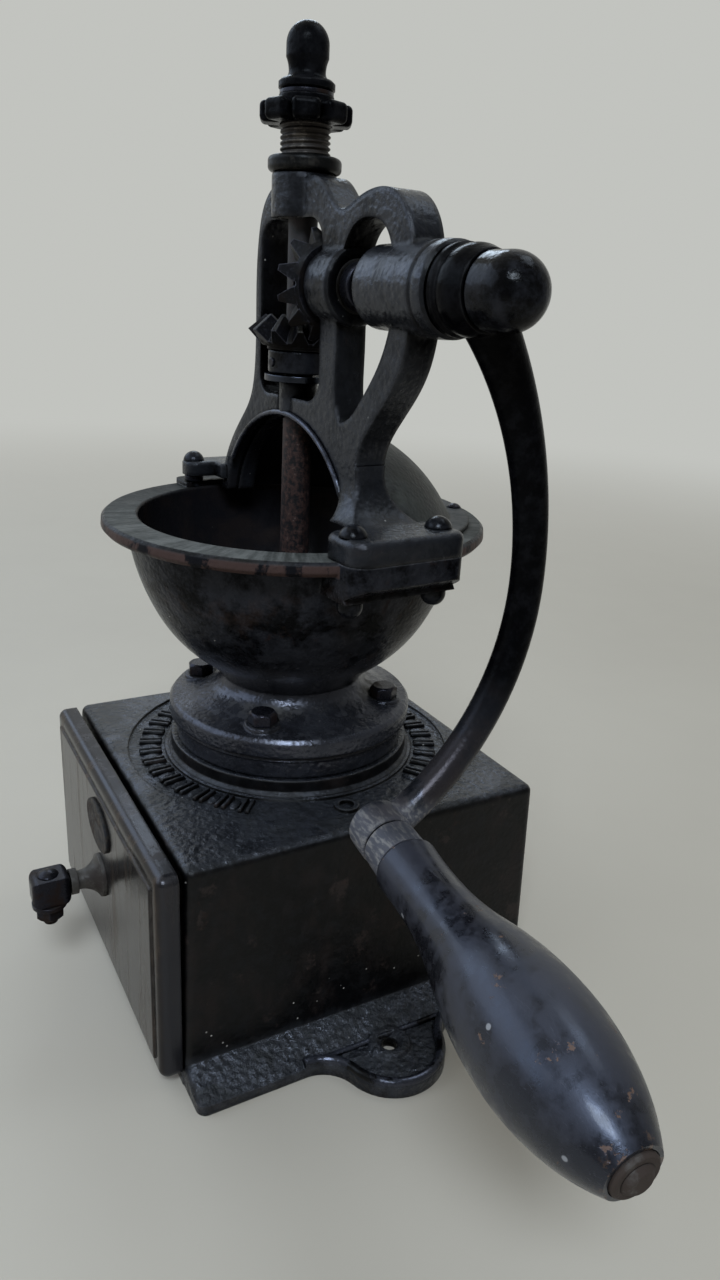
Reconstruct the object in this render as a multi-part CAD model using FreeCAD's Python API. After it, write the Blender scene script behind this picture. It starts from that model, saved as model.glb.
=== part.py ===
import FreeCAD, Part
import math
import os

os.makedirs("parts", exist_ok=True)

# All lengths are millimetres. Z is up, the table is z = 0, and the vertical grinder shaft is the Z axis.
# The drawer front faces -Y. The upper works are turned a little about Z against the box.

# turn of hopper, arch and crank against the box
arch_yaw = 4.7

# cast base box and its foot
base_x = 4.0
base_top = 86.0
base_half = 70.0
base_half_low = 71.6
flange_half = 85.5
flange_edge = 4.0
flange_top = 9.8
lug_mid = 89.0
lug_r = 20.0
lug_fillet = 14.0
lug_top = 5.8
foot_hole_x = 88.0
foot_hole_r = 3.0
cavity_half = 64.0
cavity_low = 3.5
cavity_high = 79.0
seat_r = 48.0
seat_top = 92.0
ring_recess_r = 65.0
ring_recess_deep = 1.0
chute_r = 27.0
oil_dot_x = 57.4
oil_dot_y = -3.5
rail_x = 46.0
side_rail_z = 30.0

# drawer
front_y = -80.5
front_back_y = -72.2
front_low = 5.0
front_high = 85.5
tray_half = 62.0
tray_low = 6.3
tray_high = 72.0
tray_back = 60.0
tray_wall = 1.6
rivet_r = 1.6
rivet_x = 48.0
rivet_low = 18.0
rivet_high = 62.0
plate_z = 67.5
pull_x = 5.0
pull_z = 45.5
pull_block_y = front_y - 12.3
pull_bolt_y = pull_block_y - 7.6
pull_bolt_r = 2.5

# hopper bowl
rim_top = 181.2
ear_y = -1.2
ear_half = 22.0
ear_out = 77.0
right_ear_low = 168.5
left_ear_top = 183.2
rim_in = 58.3
rim_out = 71.5
flange_r = 48.2
hopper_low = 92.1
chamber_r = 32.2
chamber_top = 107.6
flange_screw_r = 38.3
flange_screw_bore = 2.45
spot_face = 110.4
cover_y = 5.0
cover_ball_r = 61.0
cover_screw_r = 59.4
cover_screw_bore = 1.6

# arch casting
arch_thick = 11.5
arch_r = 48.0
arch_z = 170.6
arch_lip_in = 1.6
crown_low = 181.8
foot_top = 189.3
flare_half = 13.0
flare_top = 207.0
left_foot_low = 186.2
left_foot_top = 192.0
foot_bolt_x = 67.0
foot_bolt_y = 16.8
left_bolt_x = 60.0
left_bolt_y = 14.7
foot_bolt_bore = 2.6
left_hole_low = 176.0
top_boss_r = 11.0
top_boss_low = 283.0
top_boss_high = 296.8
low_boss_r = 10.8
low_boss_low = 217.4
low_boss_high = 229.6

# shafts
crank_z = 262.0
shaft_r = 5.0
shaft_bore = 5.05
crank_r = 6.5
crank_bore = 6.55
lower_bush_r = 7.0
inner_bush_r = 8.4
outer_bush_r = 9.0
neck_r = 8.4
neck_top = 316.9
inner_boss_low = 21.0
inner_boss_high = 36.0
barrel_low = 50.0
barrel_high = 86.6
collar_pin_z = 236.0
collar_pin_r = 1.5
pinion_pin_x = 18.6
pinion_pin_r = 1.2

# bevel gears, apex of both cones at (0, 0, crank_z)
wheel_teeth = 12
pinion_teeth = 12
gear_module = 2.8
tooth_face = 8.0
tooth_add = 2.2
tooth_ded = 3.2
tooth_half = 0.208 * math.pi * gear_module
tooth_lean = 22.0

# adjusting nut and what stands on it
star_low = 311.2
star_roof = 317.4
star_high = 319.6
star_lobes = 8
star_reach = 15.2
ring_low = 319.7
ring_high = 320.9
finial_r = 7.0
finial_z = 334.2

# burrs
burr_r = 32.0
burr_low = 92.05
burr_high = 107.5
dowel_ring_r = 29.8
dowel_bore = 1.5

# crank; its arm is two tangent arcs in the plane x = arm_x, which meet where it is furthest from the hub line
arm_x = 93.0
eye_y = -18.9
eye_z = 97.6
bend_y = 32.8
bend_z = 177.0
arm_r = 5.5
arm_swell = 3.7
eye_r = 9.2
spindle_r = 3.6
grip_end = 123.8
cap_x = 107.8
cap_r = 10.4
grip_tilt = 10.07
grip_lean_y = -0.8756
grip_lean_z = -0.4831


def vec(x, y, z):
    return FreeCAD.Vector(x, y, z)


def rod(r, low, high, x=0.0, y=0.0):
    return Part.makeCylinder(r, high - low, vec(x, y, low))


def rod_x(r, low, high, y=0.0, z=crank_z):
    return Part.makeCylinder(r, high - low, vec(low, y, z), vec(1, 0, 0))


def block(x0, x1, y0, y1, z0, z1):
    return Part.makeBox(x1 - x0, y1 - y0, z1 - z0, vec(x0, y0, z0))


def tidy(body):
    # merges faces that lie in one surface, unless that would spoil the solid
    clean = body.removeSplitter()
    same = clean.isValid() and abs(clean.Volume - body.Volume) < 0.001 * body.Volume
    return clean if same else body


def fuse_all(shapes):
    body = shapes[0]
    for piece in shapes[1:]:
        body = body.fuse(piece)
    return body


def edge_run(points):
    if len(points) == 2:
        return Part.makeLine(points[0], points[1])
    if len(points) == 3:
        return Part.Arc(points[0], points[1], points[2]).toShape()
    curve = Part.BSplineCurve()
    curve.interpolate(points)
    return curve.toShape()


def face_of(runs, place):
    # each run is a list of 2-D points: two make a straight edge, three an arc, more a smooth curve
    edges = []
    for run in runs:
        edges.append(edge_run([place(a, b) for a, b in run]))
    return Part.Face(Part.Wire(edges))


def flow(points, heading):
    # chain of tangent arcs through 2-D points, which leaves the first one at a heading in degrees
    runs = []
    way = math.radians(heading)
    for (a0, b0), (a1, b1) in zip(points, points[1:]):
        chord = math.atan2(b1 - b0, a1 - a0)
        turn = math.remainder(chord - way, math.tau)
        bow = math.hypot(a1 - a0, b1 - b0) / 2 * math.tan(turn / 2)
        middle = ((a0 + a1) / 2 + bow * math.sin(chord), (b0 + b1) / 2 - bow * math.cos(chord))
        runs.append([(a0, b0), middle, (a1, b1)])
        way = chord + turn
    return runs


def corners(points):
    runs = []
    for i in range(len(points)):
        runs.append([points[i], points[(i + 1) % len(points)]])
    return runs


def spin_z(runs):
    face = face_of(runs, lambda r, z: vec(r, 0, z))
    return face.revolve(vec(0, 0, 0), vec(0, 0, 1), 360)


def spin_x(runs):
    face = face_of(runs, lambda x, r: vec(x, 0, crank_z + r))
    return face.revolve(vec(0, 0, crank_z), vec(1, 0, 0), 360)


def slab(runs, thick, y=0.0):
    # a flat shape in the arch plane, thick along Y and centred on y
    face = face_of(runs, lambda x, z: vec(x, y - thick / 2, z))
    return face.extrude(vec(0, thick, 0))


def polygon(sides, r, z, turn=0.0, x=0.0, y=0.0):
    points = []
    for i in range(sides + 1):
        angle = math.radians(turn + 360.0 * i / sides)
        points.append(vec(x + r * math.cos(angle), y + r * math.sin(angle), z))
    return Part.makePolygon(points)


def hex_head(flats, low, high, x, y, bevel=0.8, turn=0.0):
    r = flats / math.sqrt(3)
    head = Part.Face(polygon(6, r, low, turn, x, y)).extrude(vec(0, 0, high - low))
    cone = Part.makeCone(r + 3, r - bevel, 3 + bevel, vec(x, y, high - 3 - bevel))
    return head.common(cone.fuse(rod(r + 3, low - 1, high - 3 - bevel + 0.01, x, y)))


def round_head(r, high, low, x, y):
    # shallow dome sitting on z = low
    big = (r * r + high * high) / (2 * high)
    ball = Part.makeSphere(big, vec(x, y, low + high - big))
    return ball.common(rod(r + 1, low, low + high + 1, x, y))


def half_ball(r, centre, way):
    return Part.makeSphere(r, centre, way, 0, 90, 360)


def cross_pin(r, x, z, length):
    # a plain pin across a shaft, along Y
    return Part.makeCylinder(r, length, vec(x, -length / 2, z), vec(0, 1, 0))


def turned(shape):
    shape.rotate(vec(0, 0, 0), vec(0, 0, 1), arch_yaw)
    return shape


def soften(shape, size, pick):
    edges = [edge for edge in shape.Edges if pick(edge)]
    if not edges:
        return shape
    try:
        smooth = shape.makeFillet(size, edges)
    except Exception:
        return shape
    return smooth if smooth.isValid() and smooth.Volume > 0.5 * shape.Volume else shape


def save(name, shape):
    tidy(shape).exportStep("parts/" + name + ".step")


def rectangle(x0, x1, y0, y1, z):
    return Part.makePolygon([vec(x0, y0, z), vec(x1, y0, z), vec(x1, y1, z), vec(x0, y1, z), vec(x0, y0, z)])


# Base box with its foot, side ears and recessed top

def lug_outline(grow=0.0):
    # rounded ear with hollow flanks that run out into the straight edge of the foot
    r = lug_r + grow
    f = lug_fillet - grow
    edge = flange_half + grow
    cx = edge + f
    cy = math.sqrt((r + f) ** 2 - (cx - lug_mid) ** 2)
    tip = vec(lug_mid + r, 0, 0)
    join = vec(lug_mid + r * (cx - lug_mid) / (r + f), r * cy / (r + f), 0)
    middle = math.radians(180) + (math.atan2(-cy, lug_mid - cx) + math.radians(180)) / 2
    bend = vec(cx + f * math.cos(middle), cy + f * math.sin(middle), 0)
    start = vec(edge, cy, 0)
    flip = [vec(p.x, -p.y, 0) for p in (join, bend, start)]
    edges = [
        Part.Arc(start, bend, join).toShape(),
        Part.Arc(join, tip, flip[0]).toShape(),
        Part.Arc(flip[0], flip[1], flip[2]).toShape(),
        Part.makeLine(flip[2], vec(edge - 12, -cy, 0)),
        Part.makeLine(vec(edge - 12, -cy, 0), vec(edge - 12, cy, 0)),
        Part.makeLine(vec(edge - 12, cy, 0), start),
    ]
    return Part.Face(Part.Wire(edges))


def foot_lug():
    plate = lug_outline().extrude(vec(0, 0, lug_top))
    plate = soften(plate, 1.6, lambda e: e.BoundBox.ZMin > lug_top - 0.1 and e.BoundBox.XMax > 86)
    dish = lug_outline(-3.4).extrude(vec(0, 0, 3))
    dish.translate(vec(0, 0, lug_top - 1.5))
    plate = plate.cut(dish)
    boss = Part.makeCone(8.4, 7.2, 1.6, vec(foot_hole_x, 0, lug_top - 1.6))
    return plate.fuse(boss)


def base_housing():
    w = base_half_low + 0.3
    low = rectangle(-w, w, -w, w, 0)
    high = rectangle(-base_half, base_half, -base_half, base_half, base_top)
    box = Part.makeLoft([low, high], True, True)
    box = soften(box, 3.2, lambda e: max(v.Z for v in e.Vertexes) > 1 and e.Length > 50)
    f = flange_half
    skirt = Part.Face(rectangle(-f, f, -base_half_low, f, 0)).extrude(vec(0, 0, flange_edge))
    slope_low = rectangle(-f + 0.6, f - 0.6, -base_half_low, f - 0.6, flange_edge)
    slope_high = rectangle(-base_half_low, base_half_low, -base_half_low, base_half_low, flange_top)
    slope = Part.makeLoft([slope_low, slope_high], True, True)
    skirt = soften(skirt, 3.5, lambda e: e.BoundBox.ZLength > 3)
    slope = soften(slope, 3.0, lambda e: e.BoundBox.ZLength > 3)
    lug = foot_lug()
    other = lug.mirror(vec(0, 0, 0), vec(1, 0, 0))
    body = fuse_all([box, skirt, slope, lug, other])
    body = body.cut(block(-cavity_half, cavity_half, -90, cavity_half, cavity_low, cavity_high))
    rails = []
    for side in (-1, 1):
        x = side * rail_x
        rails.append(block(x - 3, x + 3, -66, cavity_half + 1, cavity_low - 1, tray_low - 0.3))
        x = side * (cavity_half - 0.7)
        rails.append(block(x - 0.9, x + 0.9, -66, cavity_half + 1, side_rail_z, side_rail_z + 4))
    rails.append(block(-30, 30, tray_back + 1.0, cavity_half + 1, 20, 60))
    body = fuse_all([body] + rails)
    for side in (-1, 1):
        x = side * foot_hole_x
        body = body.cut(rod(foot_hole_r, -1, 12, x, 0))
        body = body.cut(Part.makeCone(foot_hole_r, foot_hole_r + 2.2, 1.8, vec(x, 0, lug_top - 1.7)))
    body.translate(vec(base_x, 0, 0))
    floor = base_top - ring_recess_deep
    recess = rod(ring_recess_r, floor, base_top + 2).cut(rod(seat_r + 2.5, floor - 1, base_top + 3))
    body = body.cut(recess)
    seat = spin_z(corners([(chute_r - 2, base_top - 2), (seat_r + 1.2, base_top - 2),
                           (seat_r + 1.2, base_top + 0.4), (seat_r, base_top + 1.6), (seat_r - 0.3, seat_top),
                           (chute_r - 2, seat_top)]))
    dot = rod(4.6, base_top - 2, base_top + 0.4, oil_dot_x, oil_dot_y)
    body = fuse_all([body, seat, dot])
    body = body.cut(rod(2.8, base_top - 1.1, base_top + 2, oil_dot_x, oil_dot_y))
    body = body.cut(rod(chute_r, cavity_high - 2, seat_top + 1))
    for x, y in flange_screw_places():
        body = body.cut(rod(flange_screw_bore, cavity_high + 1.5, seat_top + 1, x, y))
    for x, y in dowel_places():
        body = body.cut(rod(dowel_bore, seat_top - 4, seat_top + 1, x, y))
    return body


def ring_places(count, r, start):
    places = []
    for i in range(count):
        angle = math.radians(start + 360.0 * i / count)
        places.append((r * math.cos(angle), r * math.sin(angle)))
    return places


def flange_screw_places():
    return ring_places(4, flange_screw_r, 45 + arch_yaw)


def dowel_places():
    return ring_places(2, dowel_ring_r, 90 + arch_yaw)


# Drawer with its pull

def drawer_front():
    h = base_half + 0.6
    plate = block(base_x - h, base_x + h, front_y + 0.8, front_back_y, front_low, front_high)
    plate = soften(plate, 3.4, lambda e: e.BoundBox.YMax < front_y + 1 or e.BoundBox.YLength > 5)
    panel = block(base_x - h + 6, base_x + h - 6, front_y, front_y + 3, front_low + 6, front_high - 6)
    panel = soften(panel, 0.6, lambda e: e.BoundBox.YMax < front_y + 0.1)
    plate = plate.fuse(panel)
    bore = Part.makeCylinder(pull_bolt_r, 20, vec(pull_x, front_y - 5, pull_z), vec(0, 1, 0))
    plate = plate.cut(bore)
    for x, z in drawer_rivet_places():
        plate = plate.cut(Part.makeCylinder(rivet_r, 4, vec(x, front_back_y - 4, z), vec(0, 1, 0)))
    return plate


def drawer_rivet_places():
    return [(base_x + side * rivet_x, z) for side in (-1, 1) for z in (rivet_low, rivet_high)]


def drawer_tray():
    outer = block(base_x - tray_half, base_x + tray_half, front_back_y, tray_back, tray_low, tray_high)
    outer = soften(outer, 2.5, lambda e: e.BoundBox.ZLength > 30 and e.BoundBox.YMax > tray_back - 1)
    inner = block(base_x - tray_half + tray_wall, base_x + tray_half - tray_wall, front_back_y + tray_wall,
                  tray_back - tray_wall, tray_low + tray_wall, tray_high + 5)
    inner = soften(inner, 1.5, lambda e: e.BoundBox.ZLength > 30)
    tray = outer.cut(inner)
    for x, z in drawer_rivet_places():
        tray = tray.cut(Part.makeCylinder(rivet_r, 4, vec(x, front_back_y - 1, z), vec(0, 1, 0)))
    return tray.cut(Part.makeCylinder(5.2, 4, vec(pull_x, front_back_y - 1, pull_z), vec(0, 1, 0)))


def drawer_rivets():
    rivets = []
    for x, z in drawer_rivet_places():
        pin = Part.makeCylinder(rivet_r, 4 + tray_wall, vec(x, front_back_y - 4, z), vec(0, 1, 0))
        y = front_back_y + tray_wall
        head = Part.makeCone(2.9, 2.0, 1.3, vec(x, y, z), vec(0, 1, 0))
        rivets.append(pin.fuse(head).removeSplitter())
    return Part.makeCompound(rivets)


def oval_plate():
    ring = Part.Ellipse(vec(0, 0, 0), 14.5, 9.2)
    disc = Part.Face(Part.Wire(ring.toShape())).extrude(vec(0, 0, 1.2))
    disc = soften(disc, 0.5, lambda e: e.BoundBox.ZMin > 1.1)
    disc.rotate(vec(0, 0, 0), vec(1, 0, 0), 90)
    disc.translate(vec(pull_x, front_y, plate_z))
    return disc


def pull_profile(runs):
    face = face_of(runs, lambda y, r: vec(pull_x, y, pull_z + r))
    return face.revolve(vec(pull_x, 0, pull_z), vec(0, -1, 0), 360)


def pull_stem():
    y = front_y
    return pull_profile([
        [(y + 12, 0), (y + 12, pull_bolt_r)],
        [(y + 12, pull_bolt_r), (y, pull_bolt_r)],
        [(y, pull_bolt_r), (y, 8.4)],
        [(y, 8.4), (y - 1.4, 8.2)],
        [(y - 1.4, 8.2), (y - 3.4, 5.6), (y - 6.5, 3.9), (y - 9.5, 3.6)],
        [(y - 9.5, 3.6), (y - 9.5, 4.9)],
        [(y - 9.5, 4.9), (y - 12.2, 4.9)],
        [(y - 12.2, 4.9), (y - 12.2, 0)],
        [(y - 12.2, 0), (y + 12, 0)],
    ])


def pull_back_nut():
    nut = hex_head(8.0, 0, 3.4, 0, 0, 0.6)
    nut = nut.cut(rod(pull_bolt_r, -1, 5))
    nut.rotate(vec(0, 0, 0), vec(1, 0, 0), -90)
    nut.translate(vec(pull_x, front_back_y, pull_z))
    return nut


def pull_block():
    body = block(pull_x - 5.2, pull_x + 5.2, pull_block_y - 14, pull_block_y, pull_z - 5.6, pull_z + 5.6)
    body = soften(body, 2.6, lambda e: e.BoundBox.YLength < 12)
    return body.cut(rod(pull_bolt_r + 0.1, pull_z - 10, pull_z + 10, pull_x, pull_bolt_y))


def pull_bolt():
    head = round_head(3.9, 1.6, pull_z + 5.7, pull_x, pull_bolt_y)
    return head.fuse(rod(pull_bolt_r, pull_z - 15.0, pull_z + 5.8, pull_x, pull_bolt_y)).removeSplitter()


def pull_washer():
    disc = rod(6.4, pull_z - 7.4, pull_z - 5.8, pull_x, pull_bolt_y)
    return disc.cut(rod(pull_bolt_r + 0.05, pull_z - 9, pull_z - 5, pull_x, pull_bolt_y))


def pull_nut():
    nut = hex_head(9.4, -4.6, 0, 0, 0, 0.7, 12)
    nut.rotate(vec(0, 0, 0), vec(1, 0, 0), 180)
    nut.translate(vec(pull_x, pull_bolt_y, pull_z - 12.2))
    return nut.cut(rod(pull_bolt_r, pull_z - 14, pull_z - 5, pull_x, pull_bolt_y))


# Hopper bowl, its screws and the rear half cover

def hopper():
    bowl_out = [(27.7, 117.3), (36.0, 125.6), (52.4, 144.2), (62.4, 175.4)]
    bowl_in = [(rim_in, 180.6), (48.6, 146.0), (32.0, 129.0), (22.2, 115.6)]
    rim = [bowl_out[-1], (rim_out - 1.2, 176.4), (rim_out, 177.8), (rim_out - 0.2, 180.2),
           (rim_out - 1.4, rim_top), (rim_in + 0.8, rim_top), bowl_in[0]]
    foot = [bowl_in[-1], (22.2, chamber_top), (chamber_r, chamber_top), (chamber_r, hopper_low),
            (45.6, hopper_low), (45.6, 98.6), (46.6, 99.3), (45.9, 100.2), (flange_r, 101.4), (flange_r, 106.8),
            (flange_r - 1.2, 108.3), (40.0, 109.4), (33.0, 111.6)]
    neck = flow([foot[-1], bowl_out[0]], 163)
    shell = spin_z(flow(bowl_out, 54) + corners(rim)[:-1] + flow(bowl_in, -90) + corners(foot)[:-1] + neck)
    hollow = rod(60.0, 160, 190)
    left = block(-rim_out, -50, -19.4, 19.4, 174.0, left_ear_top)
    left = soften(left, 5.0, lambda e: e.BoundBox.ZLength > 5 and e.BoundBox.XMax < -60)
    body = fuse_all([shell, near_bar(50.0, right_ear_low, rim_top).cut(hollow), left.cut(hollow)])
    under = block(71.0, 80, -30, 30, 160, 170)
    under.rotate(vec(71, 0, 170), vec(0, 1, 0), -32)
    body = body.cut(under)
    for x, y in ring_places(4, flange_screw_r, 45):
        body = body.fuse(rod(6.6, 107.8, spot_face, x, y)).cut(rod(6.3, spot_face, 120, x, y))
    for x, y in ring_places(4, flange_screw_r, 45):
        body = body.cut(rod(flange_screw_bore, 90, 116, x, y))
    for x, y in near_bolt_places():
        body = body.cut(rod(foot_bolt_bore, 160, 190, x, y))
    for x, y in far_bolt_places():
        body = body.cut(rod(foot_bolt_bore, left_hole_low, 190, x, y))
    return turned(body)


def near_bar(inner, low, high):
    # outline shared by the near ear of the hopper and the arch foot on it
    bar = block(inner, ear_out, ear_y - ear_half, ear_y + ear_half, low, high)
    bar = soften(bar, 7.0, lambda e: e.BoundBox.ZLength > 5 and e.BoundBox.XMin > 70 and e.BoundBox.YMax < 0)
    return soften(bar, 4.5, lambda e: e.BoundBox.ZLength > 5 and e.BoundBox.XMin > 70 and e.BoundBox.YMin > 9)


def near_bolt_places():
    return [(foot_bolt_x, ear_y + side * foot_bolt_y) for side in (-1, 1)]


def far_bolt_places():
    return [(-left_bolt_x, side * left_bolt_y) for side in (-1, 1)]


def hopper_screws():
    screws = []
    for i, (x, y) in enumerate(ring_places(4, flange_screw_r, 45)):
        head = hex_head(9.4, spot_face + 0.1, 115.2, x, y, 1.2, 20 * i)
        screws.append(head.fuse(rod(flange_screw_bore - 0.05, 81, spot_face + 0.2, x, y)).removeSplitter())
    return turned(Part.makeCompound(screws))


def half_cover():
    middle = vec(0, cover_y, 155.5)
    shell = Part.makeSphere(cover_ball_r, middle).cut(Part.makeSphere(cover_ball_r - 1.8, middle))
    keep = block(-80, 80, arch_thick / 2 + 0.1, 90, rim_top + 0.1, 230)
    shell = shell.common(keep)
    lip = rod(cover_ball_r + 0.8, rim_top + 0.1, rim_top + 1.7, 0, cover_y)
    lip = lip.cut(rod(53.6, rim_top - 1, rim_top + 3, 0, cover_y))
    lip = lip.common(keep)
    notch_y = ear_y + ear_half + 0.7
    lip = lip.cut(block(51, 79, -30, notch_y, 170, 200)).cut(block(-79, -51, -30, 25.5, 170, 200))
    body = fuse_all([shell, lip])
    # notches round the feet of the arch
    for x0, x1, y1, z1 in ((44.6, 80, 9.1, 190.0), (56.0, 80, notch_y, 190.0),
                           (49.6, 80, flare_half + 0.6, 196.5), (-80, -46.0, 8.6, 192.7),
                           (-80, -53.5, 19.9, 192.7)):
        body = body.cut(block(x0, x1, -10, y1, 170, z1))
    body = body.cut(leg_flare())
    for x, y in cover_screw_places():
        body = body.cut(rod(cover_screw_bore, 170, 190, x, y))
    return turned(body)


def cover_screw_places():
    places = ring_places(1, cover_screw_r, 70) + ring_places(1, cover_screw_r, 110)
    return [(x, y + cover_y) for x, y in places]


def cover_screws():
    screws = []
    for x, y in cover_screw_places():
        head = round_head(2.9, 1.5, rim_top + 1.8, x, y)
        shank = rod(cover_screw_bore - 0.05, rim_top + 0.2, rim_top + 1.9, x, y)
        screws.append(head.fuse(shank).removeSplitter())
    return turned(Part.makeCompound(screws))


def foot_bolt_spots():
    # place, underside of the head, lower end and head radius: one ear has through bolts, the other tapped holes
    spots = [(x, y, foot_top, right_ear_low - 4.0, 4.7) for x, y in near_bolt_places()]
    return spots + [(x, y, left_foot_top, left_hole_low + 0.4, 4.3) for x, y in far_bolt_places()]


def arch_foot_bolts():
    bolts = []
    for x, y, top, low, r in foot_bolt_spots():
        head = round_head(r, 3.7, top + 0.05, x, y)
        bolts.append(head.fuse(rod(2.5, low, top + 0.1, x, y)).removeSplitter())
    return turned(Part.makeCompound(bolts))


def arch_foot_nuts():
    nuts = []
    top = right_ear_low - 0.05
    for x, y in near_bolt_places():
        dome = round_head(4.3, 4.2, 0, 0, 0)
        dome.rotate(vec(0, 0, 0), vec(1, 0, 0), 180)
        dome.translate(vec(x, y, top - 1.95))
        nut = dome.fuse(rod(4.3, top - 2.05, top, x, y))
        nuts.append(nut.cut(rod(2.5, top - 4.05, top + 1, x, y)))
    return turned(Part.makeCompound(nuts))


def foot_spacers():
    rings = []
    for x, y in far_bolt_places():
        ring = rod(3.9, left_ear_top + 0.05, left_foot_low - 0.05, x, y)
        ring = soften(ring, 0.9, lambda e: e.BoundBox.XLength > 7)
        rings.append(ring.cut(rod(2.55, left_ear_top - 1, left_foot_low + 1, x, y)))
    return turned(Part.makeCompound(rings))


# Arch casting with its bearings

def arch_plate():
    left = (-opening_x(crown_low), crown_low)
    right = (opening_x(crown_low), crown_low)
    outer = [
        [left, (-51.6, 181.6)],
        [(-51.6, 181.6), (-49.6, 190.5), (-45.3, 199.0), (-35.0, 211.4), (-26.4, 221.5), (-23.3, 233.0),
         (-22.8, 256.0), (-21.4, 277.0), (-17.6, 287.6), (-11.5, 292.8)],
        [(-11.5, 292.8), (12.0, 294.6)],
        [(12.0, 294.6), (22.0, 292.2), (33.5, 284.2), (41.0, 286.6), (50.5, 289.2), (61.0, 288.2),
         (68.6, 281.6), (72.0, 272.0), (72.6, 260.0), (71.6, 248.5), (68.6, 238.4), (62.0, 228.4),
         (54.4, 219.6), (48.8, 210.0), (48.6, 202.4), (52.0, 194.4), (58.4, 189.0)],
        [(58.4, 189.0), (58.4, 181.6)],
        [(58.4, 181.6), right],
        [right, (0, arch_z + arch_r), left],
    ]
    plate = slab(outer, arch_thick)
    gear_window = [
        [(-19.0, 231.0), (-19.0, 274.0)],
        [(-19.0, 274.0), (-17.0, 280.2), (-10.5, 282.8)],
        [(-10.5, 282.8), (14.0, 282.8)],
        [(14.0, 282.8), (20.4, 280.2), (22.4, 273.0)],
        [(22.4, 273.0), (23.2, 233.0)],
        [(23.2, 233.0), (20.8, 226.4), (14.0, 224.2)],
        [(14.0, 224.2), (-10.5, 224.2)],
        [(-10.5, 224.2), (-17.0, 226.0), (-19.0, 231.0)],
    ]
    loop_hole = [
        [(36.8, 219.6), (34.4, 224.5), (33.2, 240.0), (33.0, 262.0), (35.4, 273.0), (40.4, 279.4),
         (49.0, 281.6), (57.4, 278.8), (62.4, 270.0), (63.8, 260.0), (62.3, 250.2), (58.6, 241.0),
         (49.4, 228.4), (41.6, 221.0), (36.8, 219.6)],
    ]
    for runs in (gear_window, loop_hole):
        plate = plate.cut(slab(runs, arch_thick + 4))
    flat = arch_thick / 2 - 0.01
    return soften(plate, 1.5, lambda e: abs(e.BoundBox.YMin + e.BoundBox.YMax) > 2 * flat and e.Length > 3)


def arch_lip():
    # thin inner edge of the big opening, set back from the front face
    ring = Part.makeCylinder(arch_r + 0.6, 7.0, vec(0, -1.4, arch_z), vec(0, 1, 0))
    ring = ring.cut(Part.makeCylinder(arch_r - arch_lip_in, 9.0, vec(0, -2.4, arch_z), vec(0, 1, 0)))
    return ring.common(block(-60, 60, -10, 10, crown_low, 230))


def near_foot():
    bar = near_bar(56.5, rim_top + 0.1, foot_top)
    bar = soften(bar, 6.0, lambda e: e.BoundBox.ZLength > 5 and e.BoundBox.XMax < 60)
    tongue = block(45.0, 70, -8.6, 8.6, rim_top + 0.1, foot_top)
    tongue = soften(tongue, 2.0, lambda e: e.BoundBox.ZLength > 4 and e.BoundBox.XMax < 60)
    foot = bar.fuse(tongue).removeSplitter()
    return soften(foot, 2.4, lambda e: e.BoundBox.ZMin > foot_top - 0.1 and e.BoundBox.XMax > 74)


def far_foot():
    bar = block(-66.0, -54.0, -19.0, 19.0, left_foot_low, left_foot_top)
    bar = soften(bar, 5.0, lambda e: e.BoundBox.ZLength > 4)
    tongue = block(-62.0, -46.6, -8.0, 8.0, left_foot_low, left_foot_top)
    tongue = soften(tongue, 2.0, lambda e: e.BoundBox.ZLength > 4 and e.BoundBox.XMin > -50)
    foot = bar.fuse(tongue).removeSplitter()
    return soften(foot, 1.3, lambda e: e.BoundBox.ZMin > left_foot_top - 0.1)


def opening_x(z, grow=0.0):
    # half width of the big round opening at a height
    return math.sqrt((arch_r + grow) ** 2 - (z - arch_z) ** 2)


def leg_flare():
    # the near leg spreads like a trumpet onto its foot
    low = foot_top - 0.3
    middle = (low + flare_top) / 2
    thin = arch_thick / 2
    inner = [(opening_x(z, 0.8), z) for z in (flare_top, middle, low)]
    outline = [
        [inner[-1], (62.0, low)],
        [(62.0, low), (52.6, 194.6), (48.9, flare_top)],
        [(48.9, flare_top), inner[0]],
        inner,
    ]
    sides = [
        [(-flare_half, low), (flare_half, low)],
        [(flare_half, low), (thin + 1.9, low + 6.4), (thin, flare_top)],
        [(thin, flare_top), (-thin, flare_top)],
        [(-thin, flare_top), (-thin - 1.9, low + 6.4), (-flare_half, low)],
    ]
    spread = face_of(sides, lambda y, z: vec(25, y, z)).extrude(vec(45, 0, 0))
    return slab(outline, 2 * flare_half + 2).common(spread)


def inner_boss():
    low = inner_boss_low
    high = inner_boss_high
    return spin_x(corners([(low, 0), (low, 11.0), (low + 1, 12.0), (high - 1, 12.4), (high, 11.6),
                           (high, 0)]))


def crank_barrel():
    low = barrel_low
    high = barrel_high
    return spin_x(corners([(low, 0), (low, 11.4), (low + 1.2, 12.4), (63.0, 12.7), (80.0, 13.5), (80.5, 12.9),
                           (81.4, 12.9), (81.9, 13.5), (high - 0.9, 13.3), (high, 12.4), (high, 0)]))


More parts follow.
